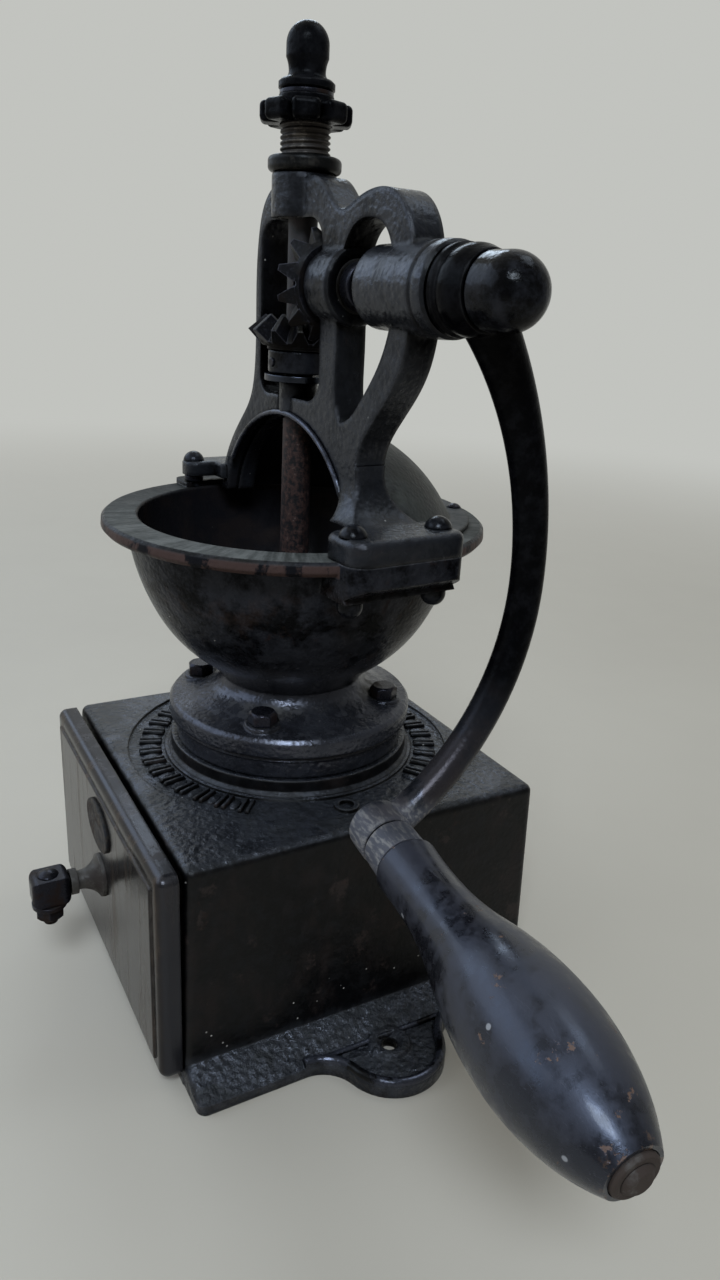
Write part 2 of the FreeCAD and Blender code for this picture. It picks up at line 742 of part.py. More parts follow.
def arch_frame():
    top_boss = rod(top_boss_r, top_boss_low, top_boss_high)
    top_boss = soften(top_boss, 1.0, lambda e: e.BoundBox.ZMin > top_boss_high - 0.1)
    low_boss = rod(low_boss_r, low_boss_low, low_boss_high)
    low_boss = low_boss.cut(Part.makeCylinder(arch_r - arch_lip_in, 40, vec(0, -20, arch_z), vec(0, 1, 0)))
    body = fuse_all([arch_plate(), arch_lip(), near_foot(), far_foot(), leg_flare(), top_boss, low_boss,
                     inner_boss(), crank_barrel()])
    body = body.cut(rod(neck_r, top_boss_low - 1, top_boss_high + 1))
    body = body.cut(rod(lower_bush_r, 200, low_boss_high + 1))
    body = body.cut(rod_x(inner_bush_r, inner_boss_low - 2, inner_boss_high + 2))
    body = body.cut(rod_x(outer_bush_r, barrel_low - 1, barrel_high + 1.4))
    for x, y in near_bolt_places() + far_bolt_places():
        body = body.cut(rod(foot_bolt_bore, 170, 200, x, y))
    return turned(body)


def sleeve(outer, inner, low, high):
    return rod(outer, low, high).cut(rod(inner, low - 1, high + 1))


def sleeve_x(outer, inner, low, high):
    return rod_x(outer, low, high).cut(rod_x(inner, low - 1, high + 1))


def threaded_neck():
    return sleeve(neck_r, shaft_bore, top_boss_low + 0.2, neck_top)


def lock_collar():
    ring = sleeve(12.4, neck_r, top_boss_high + 0.1, 301.8)
    ring = soften(ring, 1.6, lambda e: e.BoundBox.XLength > 20)
    return turned(ring)


def star_nut():
    lobes = [rod(9.8, star_low, star_high - 2.1), rod(9.1, star_high - 2.2, star_high)]
    for i in range(star_lobes):
        lobe = block(7, star_reach, -4.6, 4.6, star_low, star_high - 2.1)
        lobe = soften(lobe, 1.8, lambda e: e.BoundBox.XMax > star_reach - 0.1)
        lobe.rotate(vec(0, 0, 0), vec(0, 0, 1), 360.0 * i / star_lobes - 25.5)
        lobes.append(lobe)
    nut = fuse_all(lobes)
    nut = nut.cut(rod(neck_r + 0.35, star_low - 1, star_roof))
    return nut.cut(rod(shaft_r + 0.35, star_low, star_high + 1))


def thrust_ring():
    return sleeve(8.9, shaft_r + 0.35, ring_low, ring_high)


def finial_nut():
    low = ring_high + 0.1
    neck = [(8.4, 324.2), (6.05, 326.6), (finial_r, 330.6)]
    rest = [neck[-1], (finial_r, finial_z), (0, finial_z), (0, low), (8.6, low), (9.3, 321.6), (9.3, 323.4),
            neck[0]]
    nut = spin_z(flow(neck, 180) + corners(rest)[:-1])
    nut = nut.fuse(half_ball(finial_r, vec(0, 0, finial_z), vec(0, 0, 1)))
    return nut.cut(rod(4.0, 319, 332.0))


# Vertical shaft and bevel gears

def main_shaft():
    shoulder = ring_high - 0.3
    shaft = spin_z(corners([
        (0, 85.0), (3.6, 85.0), (4.0, 85.4), (4.0, 94.0), (5.0, 94.0), (5.0, 113.5), (5.6, 114.2),
        (5.6, 150.0), (5.4, 216.4), (shaft_r, 216.4), (shaft_r, shoulder), (4.0, shoulder), (4.0, 331.2),
        (3.4, 331.8), (0, 331.8)]))
    return turned(shaft.cut(cross_pin(collar_pin_r, 0, collar_pin_z, 30)))


def shaft_washer():
    return sleeve(12.4, shaft_r + 0.3, low_boss_high + 0.05, 231.8)


def wheel_collar():
    ring = sleeve(11.2, shaft_r, 232.3, 240.2)
    ring = soften(ring, 0.8, lambda e: e.BoundBox.XLength > 20)
    return turned(ring.cut(cross_pin(collar_pin_r, 0, collar_pin_z, 30)))


def wheel_pin():
    return turned(cross_pin(collar_pin_r, 0, collar_pin_z, 23.4))


def wheel_pitch():
    return gear_module * wheel_teeth / 2


def pinion_pitch():
    return gear_module * pinion_teeth / 2


def cone_points(mine, other):
    # the way across the pitch line, the shrink from heel to toe, and the heel's tip and root; each point is its
    # distance from the gear's own axis and its distance from the apex
    length = math.hypot(mine, other)
    across = (other / length, -mine / length)
    shrink = (length - tooth_face) / length
    tip = (mine + across[0] * tooth_add, other + across[1] * tooth_add)
    root = (mine - across[0] * tooth_ded, other - across[1] * tooth_ded)
    return across, shrink, tip, root


def bevel_teeth(count, mine, other, start):
    # straight teeth that shrink towards the apex, built round Z with the apex at the origin, opening downwards
    across, shrink, tip, root = cone_points(mine, other)
    lean = math.tan(math.radians(tooth_lean))
    half_tip = tooth_half - tooth_add * lean
    half_root = tooth_half + tooth_ded * lean
    sink = (root[0] - across[0] * 0.8, root[1] - across[1] * 0.8)
    section = [(sink, -half_root), (tip, -half_tip), (tip, half_tip), (sink, half_root), (sink, -half_root)]
    teeth = []
    for i in range(count):
        wires = []
        for k in (1.0, shrink):
            points = [vec(place[0] * k, half * k, -place[1] * k) for place, half in section]
            wires.append(Part.makePolygon(points))
        tooth = Part.makeLoft(wires, True, True)
        tooth.rotate(vec(0, 0, 0), vec(0, 0, 1), start + 360.0 * i / count)
        teeth.append(tooth)
    return teeth


def bevel_body(mine, other, bore, back, hub_r, nose):
    across, shrink, tip, root = cone_points(mine, other)
    reach = tooth_add + tooth_ded + 2.0
    heel = (tip[0] - across[0] * reach, tip[1] - across[1] * reach)
    toe = (root[0] * shrink, root[1] * shrink)
    outline = [(bore, -back), (hub_r, -back), (hub_r, -heel[1] - 0.01), (heel[0], -heel[1]),
               (root[0], -root[1]), (toe[0], -toe[1]), (toe[0] - 1.2, -toe[1] + nose), (bore, -toe[1] + nose)]
    face = face_of(corners(outline), lambda r, z: vec(r, 0, z))
    return face.revolve(vec(0, 0, 0), vec(0, 0, 1), 360)


def bevel_wheel():
    mine = wheel_pitch()
    other = pinion_pitch()
    body = bevel_body(mine, other, shaft_r, 21.6, 11.6, 0.6)
    gear = fuse_all([body] + bevel_teeth(wheel_teeth, mine, other, 0))
    gear.translate(vec(0, 0, crank_z))
    return turned(gear)


def bevel_pinion():
    mine = pinion_pitch()
    other = wheel_pitch()
    body = bevel_body(mine, other, shaft_r, 20.6, 10.8, 0.6)
    gear = fuse_all([body] + bevel_teeth(pinion_teeth, mine, other, 180.0 / pinion_teeth))
    gear.rotate(vec(0, 0, 0), vec(0, 1, 0), -90)
    gear.translate(vec(0, 0, crank_z))
    return turned(gear.cut(cross_pin(pinion_pin_r, pinion_pin_x, crank_z, 30)))


# Grinding burrs

def fluted(count, low_r, high_r, depth, low, high, twist):
    wires = []
    for r, z, turn in ((low_r, low, 0.0), (high_r, high, twist)):
        points = []
        for i in range(2 * count + 1):
            angle = math.radians(turn + 180.0 * i / count)
            reach = r if i % 2 == 0 else r - depth * r / low_r
            points.append(vec(reach * math.cos(angle), reach * math.sin(angle), z))
        wires.append(Part.makePolygon(points))
    return Part.makeLoft(wires, True, True)


def grinding_cone():
    low = fluted(24, 26.8, 22.2, 1.4, 93.4, 105.0, 14)
    high = fluted(8, 20.4, 11.0, 3.6, 105.0, 113.4, 30)
    cone = fuse_all([low, high])
    cone = cone.cut(rod(shaft_r, 93.9, 116)).cut(rod(4.0, 90, 94))
    return turned(cone)


def cone_nut():
    nut = hex_head(13.0, 87.4, 93.2, 0, 0, 1.0)
    return turned(nut.cut(rod(4.0, 80, 95)))


def burr_ring():
    outer = rod(burr_r, burr_low, burr_high)
    inner = fluted(24, 28.9, 23.5, 1.4, burr_low - 0.01, burr_high + 0.01, -12)
    ring = outer.cut(inner)
    for x, y in ring_places(2, dowel_ring_r, 90):
        ring = ring.cut(rod(dowel_bore, 90, 97, x, y))
    return turned(ring)


def ring_dowels():
    pins = []
    for x, y in dowel_places():
        pins.append(rod(dowel_bore - 0.05, seat_top - 3.8, 96.6, x, y))
    return Part.makeCompound(pins)


# Crank and handle

def crankshaft():
    outline = [(9.6, 0), (9.6, 4.6), (10.0, shaft_r), (20.8, shaft_r), (20.8, crank_r)]
    for x in (42.9, 45.2, 47.5):
        # oil grooves
        outline += [(x, crank_r), (x + 0.3, crank_r - 0.6), (x + 0.9, crank_r - 0.6), (x + 1.2, crank_r)]
    outline += [(99.6, crank_r), (99.6, 4.4), (110.4, 4.4), (111.0, 3.8), (111.0, 0)]
    shaft = spin_x(corners(outline))
    return turned(shaft.cut(cross_pin(pinion_pin_r, pinion_pin_x, crank_z, 30)))


def pinion_pin():
    return turned(cross_pin(pinion_pin_r, pinion_pin_x, crank_z, 21.0))


def crankshaft_collar():
    ring = sleeve_x(7.7, crank_r, 36.4, 41.4)
    ring = soften(ring, 0.7, lambda e: e.BoundBox.YLength > 14)
    return turned(ring)


def arc_in_arm(y, z):
    # centre, radius and angle at (y, z) of the arc that passes the bend upright and goes to (y, z)
    across = bend_y - y
    along = z - bend_z
    r = (across ** 2 + along ** 2) / (2 * across)
    return bend_y - r, r, math.atan2(along, y - bend_y + r)


def arm_section(middle_y, r, angle, reach):
    # oval across the arm: half width reach in the plane of the arm, arm_r along the crankshaft
    y = middle_y + r * math.cos(angle)
    z = bend_z + r * math.sin(angle)
    outward = vec(0, math.cos(angle), math.sin(angle))
    centre = vec(arm_x, y, z)
    oval = Part.Ellipse(centre + outward * reach, centre + vec(arm_r, 0, 0), centre)
    return Part.Wire(oval.toShape())


def arm_bar():
    middle_y, r, top = arc_in_arm(0.0, crank_z)
    rings = []
    steps = 6
    for i in range(steps + 1):
        share = i / steps
        reach = arm_r + 1e-7 + arm_swell * (1 - share) ** 1.8
        rings.append(arm_section(middle_y, r, top * (1 - share), reach))
    upper = Part.makeLoft(rings, True, False)
    middle_y, r, end = arc_in_arm(eye_y, eye_z)
    disc = Part.Face(Part.Wire(Part.Circle(vec(arm_x, bend_y, bend_z), vec(0, 0, 1), arm_r).toShape()))
    lower = disc.revolve(vec(arm_x, middle_y, bend_z), vec(1, 0, 0), math.degrees(end))
    return upper.fuse(lower)


def grip_direction():
    lean = math.radians(grip_tilt)
    return vec(math.cos(lean), math.sin(lean) * grip_lean_y, math.sin(lean) * grip_lean_z)


def eye_point(k):
    return vec(arm_x, eye_y, eye_z) + grip_direction() * k


def rod_grip(r, low, high):
    return Part.makeCylinder(r, high - low, eye_point(low), grip_direction())


def spin_grip(runs):
    # outline in (distance along the grip from the eye, radius), turned round the grip's own axis
    d = grip_direction()
    up = vec(0, 0, 1).cross(d)
    up.normalize()
    face = face_of(runs, lambda k, r: eye_point(k) + up * r)
    return face.revolve(eye_point(0), d, 360)


def crank_arm():
    crown = flow([(90.4, 11.7), (94.5, 12.3), (97.6, 11.6)], 18)
    hub = spin_x(corners([(100.4, 0), (87.3, 0), (87.3, 11.8), (88.0, 12.6), (89.6, 12.6), (90.4, 11.7)])[:-1]
                 + crown + corners([(97.6, 11.6), (100.4, 10.8), (100.4, 0)])[:-1])
    eye = rod_grip(eye_r, -5.6, 5.6)
    eye = soften(eye, 1.4, lambda e: e.BoundBox.YLength > 10)
    # the bar ends inside the ring of the eye
    body = fuse_all([arm_bar().cut(rod_grip(eye_r - 0.5, -12, 12)), hub, eye])
    body = body.cut(rod_x(crank_r, 86, 102)).cut(rod_grip(spindle_r, -8, 8))
    return turned(body)


def crank_cap():
    cap = spin_x(corners([(100.6, 0), (100.6, 9.6), (101.4, cap_r), (cap_x, cap_r), (cap_x, 0)]))
    cap = cap.fuse(half_ball(cap_r, vec(cap_x, 0, crank_z), vec(1, 0, 0)))
    return turned(cap.cut(rod_x(4.4, 99, 111.2)))


def handle_spindle():
    end = grip_end + 0.1
    pin = spin_grip(corners([(-8.0, 0), (-8.0, 4.4), (-5.8, 5.0), (-5.8, spindle_r), (end, spindle_r),
                             (end, 3.4), (end + 2.1, 3.4), (end + 2.1, 4.6), (end + 3.5, 3.0), (end + 3.5, 0)]))
    return turned(pin)


def grip_ferrule():
    bore = spindle_r + 0.08
    return turned(spin_grip(corners([(6.0, bore), (6.0, 8.2), (6.8, 8.9), (17.0, 9.2), (17.0, bore)])))


def grip():
    belly = [(18.4, 10.3), (38.0, 10.2), (58.0, 13.7), (88.0, 18.1), (110.0, 14.9), (124.6, 8.0)]
    bore = spindle_r + 0.08
    ends = [belly[-1], (124.6, 6.9), (grip_end, 6.9), (grip_end, bore), (17.1, bore), (17.1, 9.6), belly[0]]
    return turned(spin_grip(flow(belly, -4) + corners(ends)[:-1]))


def end_washer():
    low = grip_end + 0.1
    ring = spin_grip(corners([(low, 3.5), (low, 6.6), (low + 1.3, 6.6), (low + 2, 6.0), (low + 2, 3.5)]))
    return turned(ring)


pieces = {
    "base_housing": base_housing,
    "drawer_front": drawer_front,
    "drawer_tray": drawer_tray,
    "drawer_rivets": drawer_rivets,
    "oval_plate": oval_plate,
    "pull_stem": pull_stem,
    "pull_back_nut": pull_back_nut,
    "pull_block": pull_block,
    "pull_bolt": pull_bolt,
    "pull_washer": pull_washer,
    "pull_nut": pull_nut,
    "hopper": hopper,
    "hopper_screws": hopper_screws,
    "half_cover": half_cover,
    "cover_screws": cover_screws,
    "arch_frame": arch_frame,
    "arch_foot_bolts": arch_foot_bolts,
    "arch_foot_nuts": arch_foot_nuts,
    "foot_spacers": foot_spacers,
    "lower_bush": lambda: sleeve(lower_bush_r, shaft_bore, low_boss_low + 1.0, low_boss_high),
    "inner_bush": lambda: turned(sleeve_x(inner_bush_r, crank_bore, inner_boss_low, inner_boss_high)),
    "outer_bush": lambda: turned(sleeve_x(outer_bush_r, crank_bore, barrel_low, barrel_high)),
    "threaded_neck": threaded_neck,
    "lock_collar": lock_collar,
    "star_nut": star_nut,
    "thrust_ring": thrust_ring,
    "finial_nut": finial_nut,
    "main_shaft": main_shaft,
    "shaft_washer": shaft_washer,
    "wheel_collar": wheel_collar,
    "wheel_pin": wheel_pin,
    "bevel_wheel": bevel_wheel,
    "bevel_pinion": bevel_pinion,
    "grinding_cone": grinding_cone,
    "cone_nut": cone_nut,
    "burr_ring": burr_ring,
    "ring_dowels": ring_dowels,
    "crankshaft": crankshaft,
    "pinion_pin": pinion_pin,
    "crankshaft_collar": crankshaft_collar,
    "crank_arm": crank_arm,
    "crank_cap": crank_cap,
    "handle_spindle": handle_spindle,
    "grip_ferrule": grip_ferrule,
    "grip": grip,
    "end_washer": end_washer,
}

for name, make in pieces.items():
    save(name, make())
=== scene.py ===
import math
import bpy
from mathutils import Matrix, Vector


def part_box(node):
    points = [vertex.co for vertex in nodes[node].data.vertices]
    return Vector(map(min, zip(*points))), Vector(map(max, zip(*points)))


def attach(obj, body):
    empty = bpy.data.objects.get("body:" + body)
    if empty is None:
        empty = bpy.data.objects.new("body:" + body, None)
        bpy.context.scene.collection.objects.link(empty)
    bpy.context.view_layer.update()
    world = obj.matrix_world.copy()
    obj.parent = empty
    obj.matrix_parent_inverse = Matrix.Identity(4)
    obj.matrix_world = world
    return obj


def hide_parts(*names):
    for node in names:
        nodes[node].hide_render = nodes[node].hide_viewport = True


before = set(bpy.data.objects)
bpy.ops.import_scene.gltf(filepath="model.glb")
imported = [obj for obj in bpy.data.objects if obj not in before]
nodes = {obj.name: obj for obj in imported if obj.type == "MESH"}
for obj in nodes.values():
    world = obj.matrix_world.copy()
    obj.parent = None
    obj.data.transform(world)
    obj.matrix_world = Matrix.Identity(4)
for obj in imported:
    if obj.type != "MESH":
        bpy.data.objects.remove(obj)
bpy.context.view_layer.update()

mm = 0.001

print("frame loaded:", len(nodes), "nodes")


# Shader maths

class Wire:
    # wraps one output socket, so that shader values can be written as sums and products
    def __init__(self, tree, socket):
        self.tree = tree
        self.socket = socket

    def node(self, kind, settings=None, out=0, **values):
        # i0 and i1 name a socket by its number, and an underscore stands for a space in a socket's name
        made = self.tree.nodes.new("ShaderNode" + kind)
        for key, value in (settings or {}).items():
            setattr(made, key, value)
        for key, value in values.items():
            name = int(key[1:]) if key[0] == "i" and key[1:].isdigit() else key.replace("_", " ")
            if isinstance(value, Wire):
                self.tree.links.new(value.socket, made.inputs[name])
            else:
                made.inputs[name].default_value = value
        return Wire(self.tree, made.outputs[out])

    def math(self, operation, first, second=0.0):
        return self.node("Math", {"operation": operation}, i0=first, i1=second)

    def __add__(self, other):
        return self.math("ADD", self, other)

    def __mul__(self, other):
        return self.math("MULTIPLY", self, other)

    def __sub__(self, other):
        return self.math("SUBTRACT", self, other)

    def __rsub__(self, other):
        return self.math("SUBTRACT", other, self)

    __radd__ = __add__
    __rmul__ = __mul__

    def step(self, low, high):
        # 0 below low, 1 above high, smooth between
        smooth = {"interpolation_type": "SMOOTHSTEP"}
        return self.node("MapRange", smooth, Value=self, From_Min=low, From_Max=high)

    def most(self, limit):
        return self.math("MINIMUM", self, limit)

    def band(self, low, high, soft):
        # 1 between low and high, with soft ends
        return self.step(low - soft, low + soft) * (1.0 - self.step(high - soft, high + soft))


def paint(colour, under, mask):
    # colour on top of the other, where mask is 1
    top = colour if isinstance(colour, Wire) else (*colour, 1)
    low = under if isinstance(under, Wire) else (*under, 1)
    return mask.node("Mix", {"data_type": "RGBA"}, out=2, Factor=mask, i6=low, i7=top)


def newMaterial(name, metallic=0.0, specular=0.5):
    material = bpy.data.materials.new(name)
    material.use_nodes = True
    tree = material.node_tree
    shader = tree.nodes["Principled BSDF"]
    shader.inputs["Metallic"].default_value = metallic
    shader.inputs["Specular IOR Level"].default_value = specular
    coordinates = tree.nodes.new("ShaderNodeTexCoord")
    return material, shader, Wire(tree, coordinates.outputs["Object"])


def plug(shader, socket, wire):
    wire.tree.links.new(wire.socket, shader.inputs[socket])


def noise(place, scale, detail=4.0, roughness=0.6, distortion=0.0):
    # scale is in repeats to the metre
    return place.node("TexNoise", Vector=place, Scale=scale, Detail=detail, Roughness=roughness,
                      Distortion=distortion)


def cells(place, scale, feature="F1", out=0):
    return place.node("TexVoronoi", {"feature": feature}, out=out, Vector=place, Scale=scale)


def rounded(place, reach):
    # the direction of the surface, with its sharp edges rounded off
    return place.node("Bevel", {"samples": 6}, Radius=reach)


def edges(place, smooth):
    # 1 on sharp edges, 0 on flat and smooth places
    flat = place.node("NewGeometry", out=1)
    dot = place.node("VectorMath", {"operation": "DOT_PRODUCT"}, out=1, i0=smooth, i1=flat)
    return (1.0 - dot).step(0.06, 0.24)


def shelter(place, reach):
    # rises from 0 in the open to 1 deep in corners, recesses and joints
    return 1.0 - place.node("AmbientOcclusion", {"samples": 6}, out=1, Distance=reach)


def hollows(place, reach):
    return shelter(place, reach).step(0.25, 0.85)


def across(place, axis):
    # one coordinate of the place, in metres
    return place.node("SeparateXYZ", out=axis, Vector=place)


def facing(place, low, high):
    # 1 where the surface looks up
    normal = place.node("NewGeometry", out=1)
    return across(normal, 2).step(low, high)


def crankSideShade(place):
    # 1 where the surface looks towards the crank side, the dimmer side of the room, as a mask for painted
    # shade
    normal = place.node("NewGeometry", out=1)
    return across(normal, 0).step(0.35, 0.75)


def axisReach(place):
    # distance from the vertical shaft
    flat = place.node("VectorMath", {"operation": "MULTIPLY"}, i0=place, i1=(1.0, 1.0, 0.0))
    return place.node("VectorMath", {"operation": "LENGTH"}, out=1, i0=flat)


def axisTurn(place):
    # angle round the vertical shaft
    return place.math("ARCTAN2", across(place, 1), across(place, 0))


def outwards(place):
    # 1 where the surface looks away from the vertical shaft, 0 where it looks at it
    normal = place.node("NewGeometry", out=1)
    away = place.node("VectorMath", {"operation": "DOT_PRODUCT"}, out=1, i0=place, i1=normal)
    level = across(place, 2) * across(normal, 2)
    return (away - level).step(-0.004, 0.004)


def streaks(place, scale, squash):
    # noise drawn out along the axes that squash makes small
    drawn = place.node("Mapping", Vector=place, Scale=squash)
    return noise(drawn, scale, 4, 0.65)


def specks(place, scale, share, size):
    # small separate dots on the given share of the cells
    chance = place.node("SeparateColor", Color=cells(place, scale, out=1)).step(1.0 - share, 1.001 - share)
    return (1.0 - cells(place, scale).step(size * 0.6, size)) * chance


def bumped(place, shader, height, distance, strength, base=None):
    under = {"Normal": base} if base else {}
    plug(shader, "Normal", place.node("Bump", Strength=strength, Distance=distance, Height=height, **under))


print("stage: shader tools ready")


# Cast iron

ironColour = {
    "black": (0.0016, 0.0016, 0.0020),
    "soft": (0.0058, 0.0058, 0.0068),
    "rust": (0.024, 0.0115, 0.0080),
    "dust": (0.088, 0.084, 0.073),
    "bare": (0.105, 0.100, 0.100),
    "speck": (0.46, 0.44, 0.41),
    "joint": (0.0012, 0.0011, 0.0010),
    "sheen": (0.046, 0.048, 0.058),
}
ironScale = {"broad": 34, "middle": 190, "fine": 1100, "grain": 780, "rust": 52, "mottle": 75,
             "speck": 330, "speckPatch": 22}


def ironLayers(place, look):
    # colour, roughness and height of black cast iron with rust, dust, worn edges, and black joints that are
    # partly dirt in seams and partly painted shade in corners and recesses
    smooth = rounded(place, look.get("round", 0.0012))
    hidden = shelter(place, 0.006)
    broad = noise(place, ironScale["broad"], 5)
    middle = noise(place, ironScale["middle"], 5, 0.68)
    fine = noise(place, ironScale["fine"], 3, 0.7)
    grain = 1.0 - cells(place, look.get("grainScale", ironScale["grain"]), "SMOOTH_F1")
    colour = paint(ironColour["soft"], ironColour["black"], middle.step(0.44, 0.66) * 0.8)
    spread = 0.2 * look["rust"]
    stain = noise(place, ironScale["rust"], 6, 0.7, 0.6) + fine * 0.12
    rust = stain.step(0.74 - spread, 0.86 - spread)
    colour = paint(ironColour["rust"], colour, rust * 0.85)
    settled = facing(place, 0.3, 0.95) * 0.5 + hidden.step(0.25, 0.85) * 0.7
    dust = settled * (broad * 0.6 + middle * 0.7).step(0.42, 0.92) * look["dust"]
    colour = paint(ironColour["dust"], colour, dust)
    edge = edges(place, smooth) * (1.0 - hidden.step(0.1, 0.4))
    worn = edge * (middle * 0.8 + broad * 0.5).step(0.42, 0.78) * look["wear"]
    colour = paint(ironColour["bare"], colour, worn)
    rough = look["gloss"] + middle.step(0.35, 0.7) * 0.12 + dust * 0.5 + rust * 0.22
    if look.get("speck"):
        dots = specks(place, ironScale["speck"], 0.09 * look["speck"], 0.13)
        dots = dots * noise(place, ironScale["speckPatch"], 2).step(0.44, 0.60)
        colour = paint(ironColour["speck"], colour, dots)
        rough = rough + dots * 0.3
    height = middle * 0.55 + fine * 0.18 + grain * 0.40
    # black joints: partly dirt in seams, partly painted shade in corners and recesses, black and without
    # reflection
    joint = hidden.step(0.34, 0.70)
    blotches = noise(place, ironScale["mottle"], 4, 0.6, 0.4)
    mottle = (blotches * 0.6 + middle * 0.25 + fine * 0.15).step(0.42, 0.58)
    sheen = mottle * (1.0 - dust) * (1.0 - rust) * look.get("sheen", 0.4)
    return {"colour": colour, "rough": rough, "height": height, "broad": broad, "middle": middle,
            "fine": fine, "dust": dust, "joint": joint, "smooth": smooth, "mottle": mottle, "sheen": sheen}


def ironFinish(name, look, zones=None):
    material, shader, place = newMaterial(name, specular=look["specular"])
    layers = ironLayers(place, look)
    if zones:
        zones(place, layers)
    sheenColour = look.get("sheenColour", ironColour["sheen"])
    colour = paint(sheenColour, layers["colour"], layers["sheen"].most(1.0))
    plug(shader, "Base Color", paint(ironColour["joint"], colour, layers["joint"].most(1.0)))
    plug(shader, "Metallic", (layers["joint"] + layers["sheen"]).most(1.0))
    plug(shader, "Roughness", layers["rough"])
    bumped(place, shader, layers["height"], 0.0007 * look["grain"], look.get("relief", 0.6), layers["smooth"])
    return material


# Irons with nothing special on them

rimLook = {"gloss": 0.12, "dust": 0.05, "rust": 0.10, "wear": 0.6, "grain": 0.5, "speck": 1.0,
           "specular": 0.2, "sheen": 0.9, "sheenColour": (0.085, 0.090, 0.115)}
capLook = {"gloss": 0.12, "dust": 0.02, "rust": 0.03, "wear": 0.3, "grain": 0.45, "specular": 0.10,
           "sheen": 0.35}
finialLook = {"gloss": 0.22, "dust": 0.03, "rust": 0.05, "wear": 0.5, "grain": 0.5, "specular": 0.03,
              "round": 0.0010, "sheen": 0.05}


# Box: rough top and foot with a green grey film, smooth sides with brown stains wiped along them

boxLook = {"gloss": 0.14, "dust": 0.22, "rust": 0.25, "wear": 0.7, "grain": 1.25, "grainScale": 500,
           "speck": 1.2, "specular": 0.22, "relief": 1.0, "round": 0.0014,
           "sheenColour": (0.082, 0.087, 0.102),
           "film": (0.030, 0.032, 0.031), "wiped": (0.0145, 0.0098, 0.0090), "patches": (0.040, 0.028, 0.025),
           "footLevel": (0.004, 0.014), "seatReach": (0.0375, 0.039), "seatLevel": (0.0855, 0.0865)}


def boxZones(place, layers):
    up = facing(place, 0.5, 0.9)
    low = 1.0 - across(place, 2).step(*boxLook["footLevel"])
    rough = up + low * 0.8
    layers["height"] = layers["height"] * (0.30 + rough * 1.2)
    layers["sheen"] = (0.2 + layers["mottle"] * 0.8) * (1.0 - layers["dust"]) * (rough * 0.9).most(1.0)
    film = up * (layers["broad"] + layers["middle"] * 0.5).step(0.55, 0.95)
    layers["colour"] = paint(boxLook["film"], layers["colour"], film * 0.35)
    # the raised seat under the hopper is smoother and shinier
    beyond = axisReach(place).step(*boxLook["seatReach"])
    seat = (1.0 - beyond) * across(place, 2).step(*boxLook["seatLevel"])
    layers["sheen"] = layers["sheen"] * (1.0 - seat) + seat * (0.35 + layers["fine"].step(0.45, 0.65) * 0.5)
    layers["height"] = layers["height"] * (1.0 - seat * 0.4)
    wiped = streaks(place, 60, (1.0, 1.0, 0.5)).step(0.48, 0.68) * (1.0 - up)
    layers["colour"] = paint(boxLook["wiped"], layers["colour"], wiped * 0.6)
    patches = (noise(place, 55, 6, 0.75) + layers["fine"] * 0.12).step(0.62, 0.70) * (1.0 - up)
    layers["colour"] = paint(boxLook["patches"], layers["colour"], patches * 0.5)
    layers["rough"] = layers["rough"] + wiped * 0.1 + patches * 0.12 + (1.0 - rough.most(1.0)) * 0.18


# Bowl: pale rim drawn round with painted shade on its far side, chips on its side, brown inside with painted
# shade and painted light, silt on the flange

bowlLook = {"gloss": 0.20, "dust": 0.45, "rust": 0.40, "wear": 0.9, "grain": 1.0, "grainScale": 600,
            "speck": 0.7, "specular": 0.05, "round": 0.0014, "sheen": 0.26,
            "sheenColour": (0.080, 0.083, 0.100),
            "rimPale": (0.118, 0.120, 0.112), "rimDark": (0.048, 0.050, 0.046),
            "side": (0.070, 0.044, 0.039), "chips": (0.008, 0.008, 0.010),
            "inside": (0.020, 0.0185, 0.021), "insideBrown": (0.046, 0.033, 0.028),
            "drips": (0.006, 0.0055, 0.006), "shade": (0.006, 0.0058, 0.0070),
            "lit": (0.105, 0.104, 0.125), "brown": (0.024, 0.0145, 0.011), "silt": (0.17, 0.155, 0.130),
            "rimTopLevel": (0.1795, 0.1805), "rimSideLevel": (0.1762, 0.1803),
            "rimSideReach": (0.0702, 0.0722), "insideLevel": (0.116, 0.120),
            "outsideLevel": (0.124, 0.174), "flangeLevel": (0.112, 0.118), "throatLevel": (0.128, 0.136)}


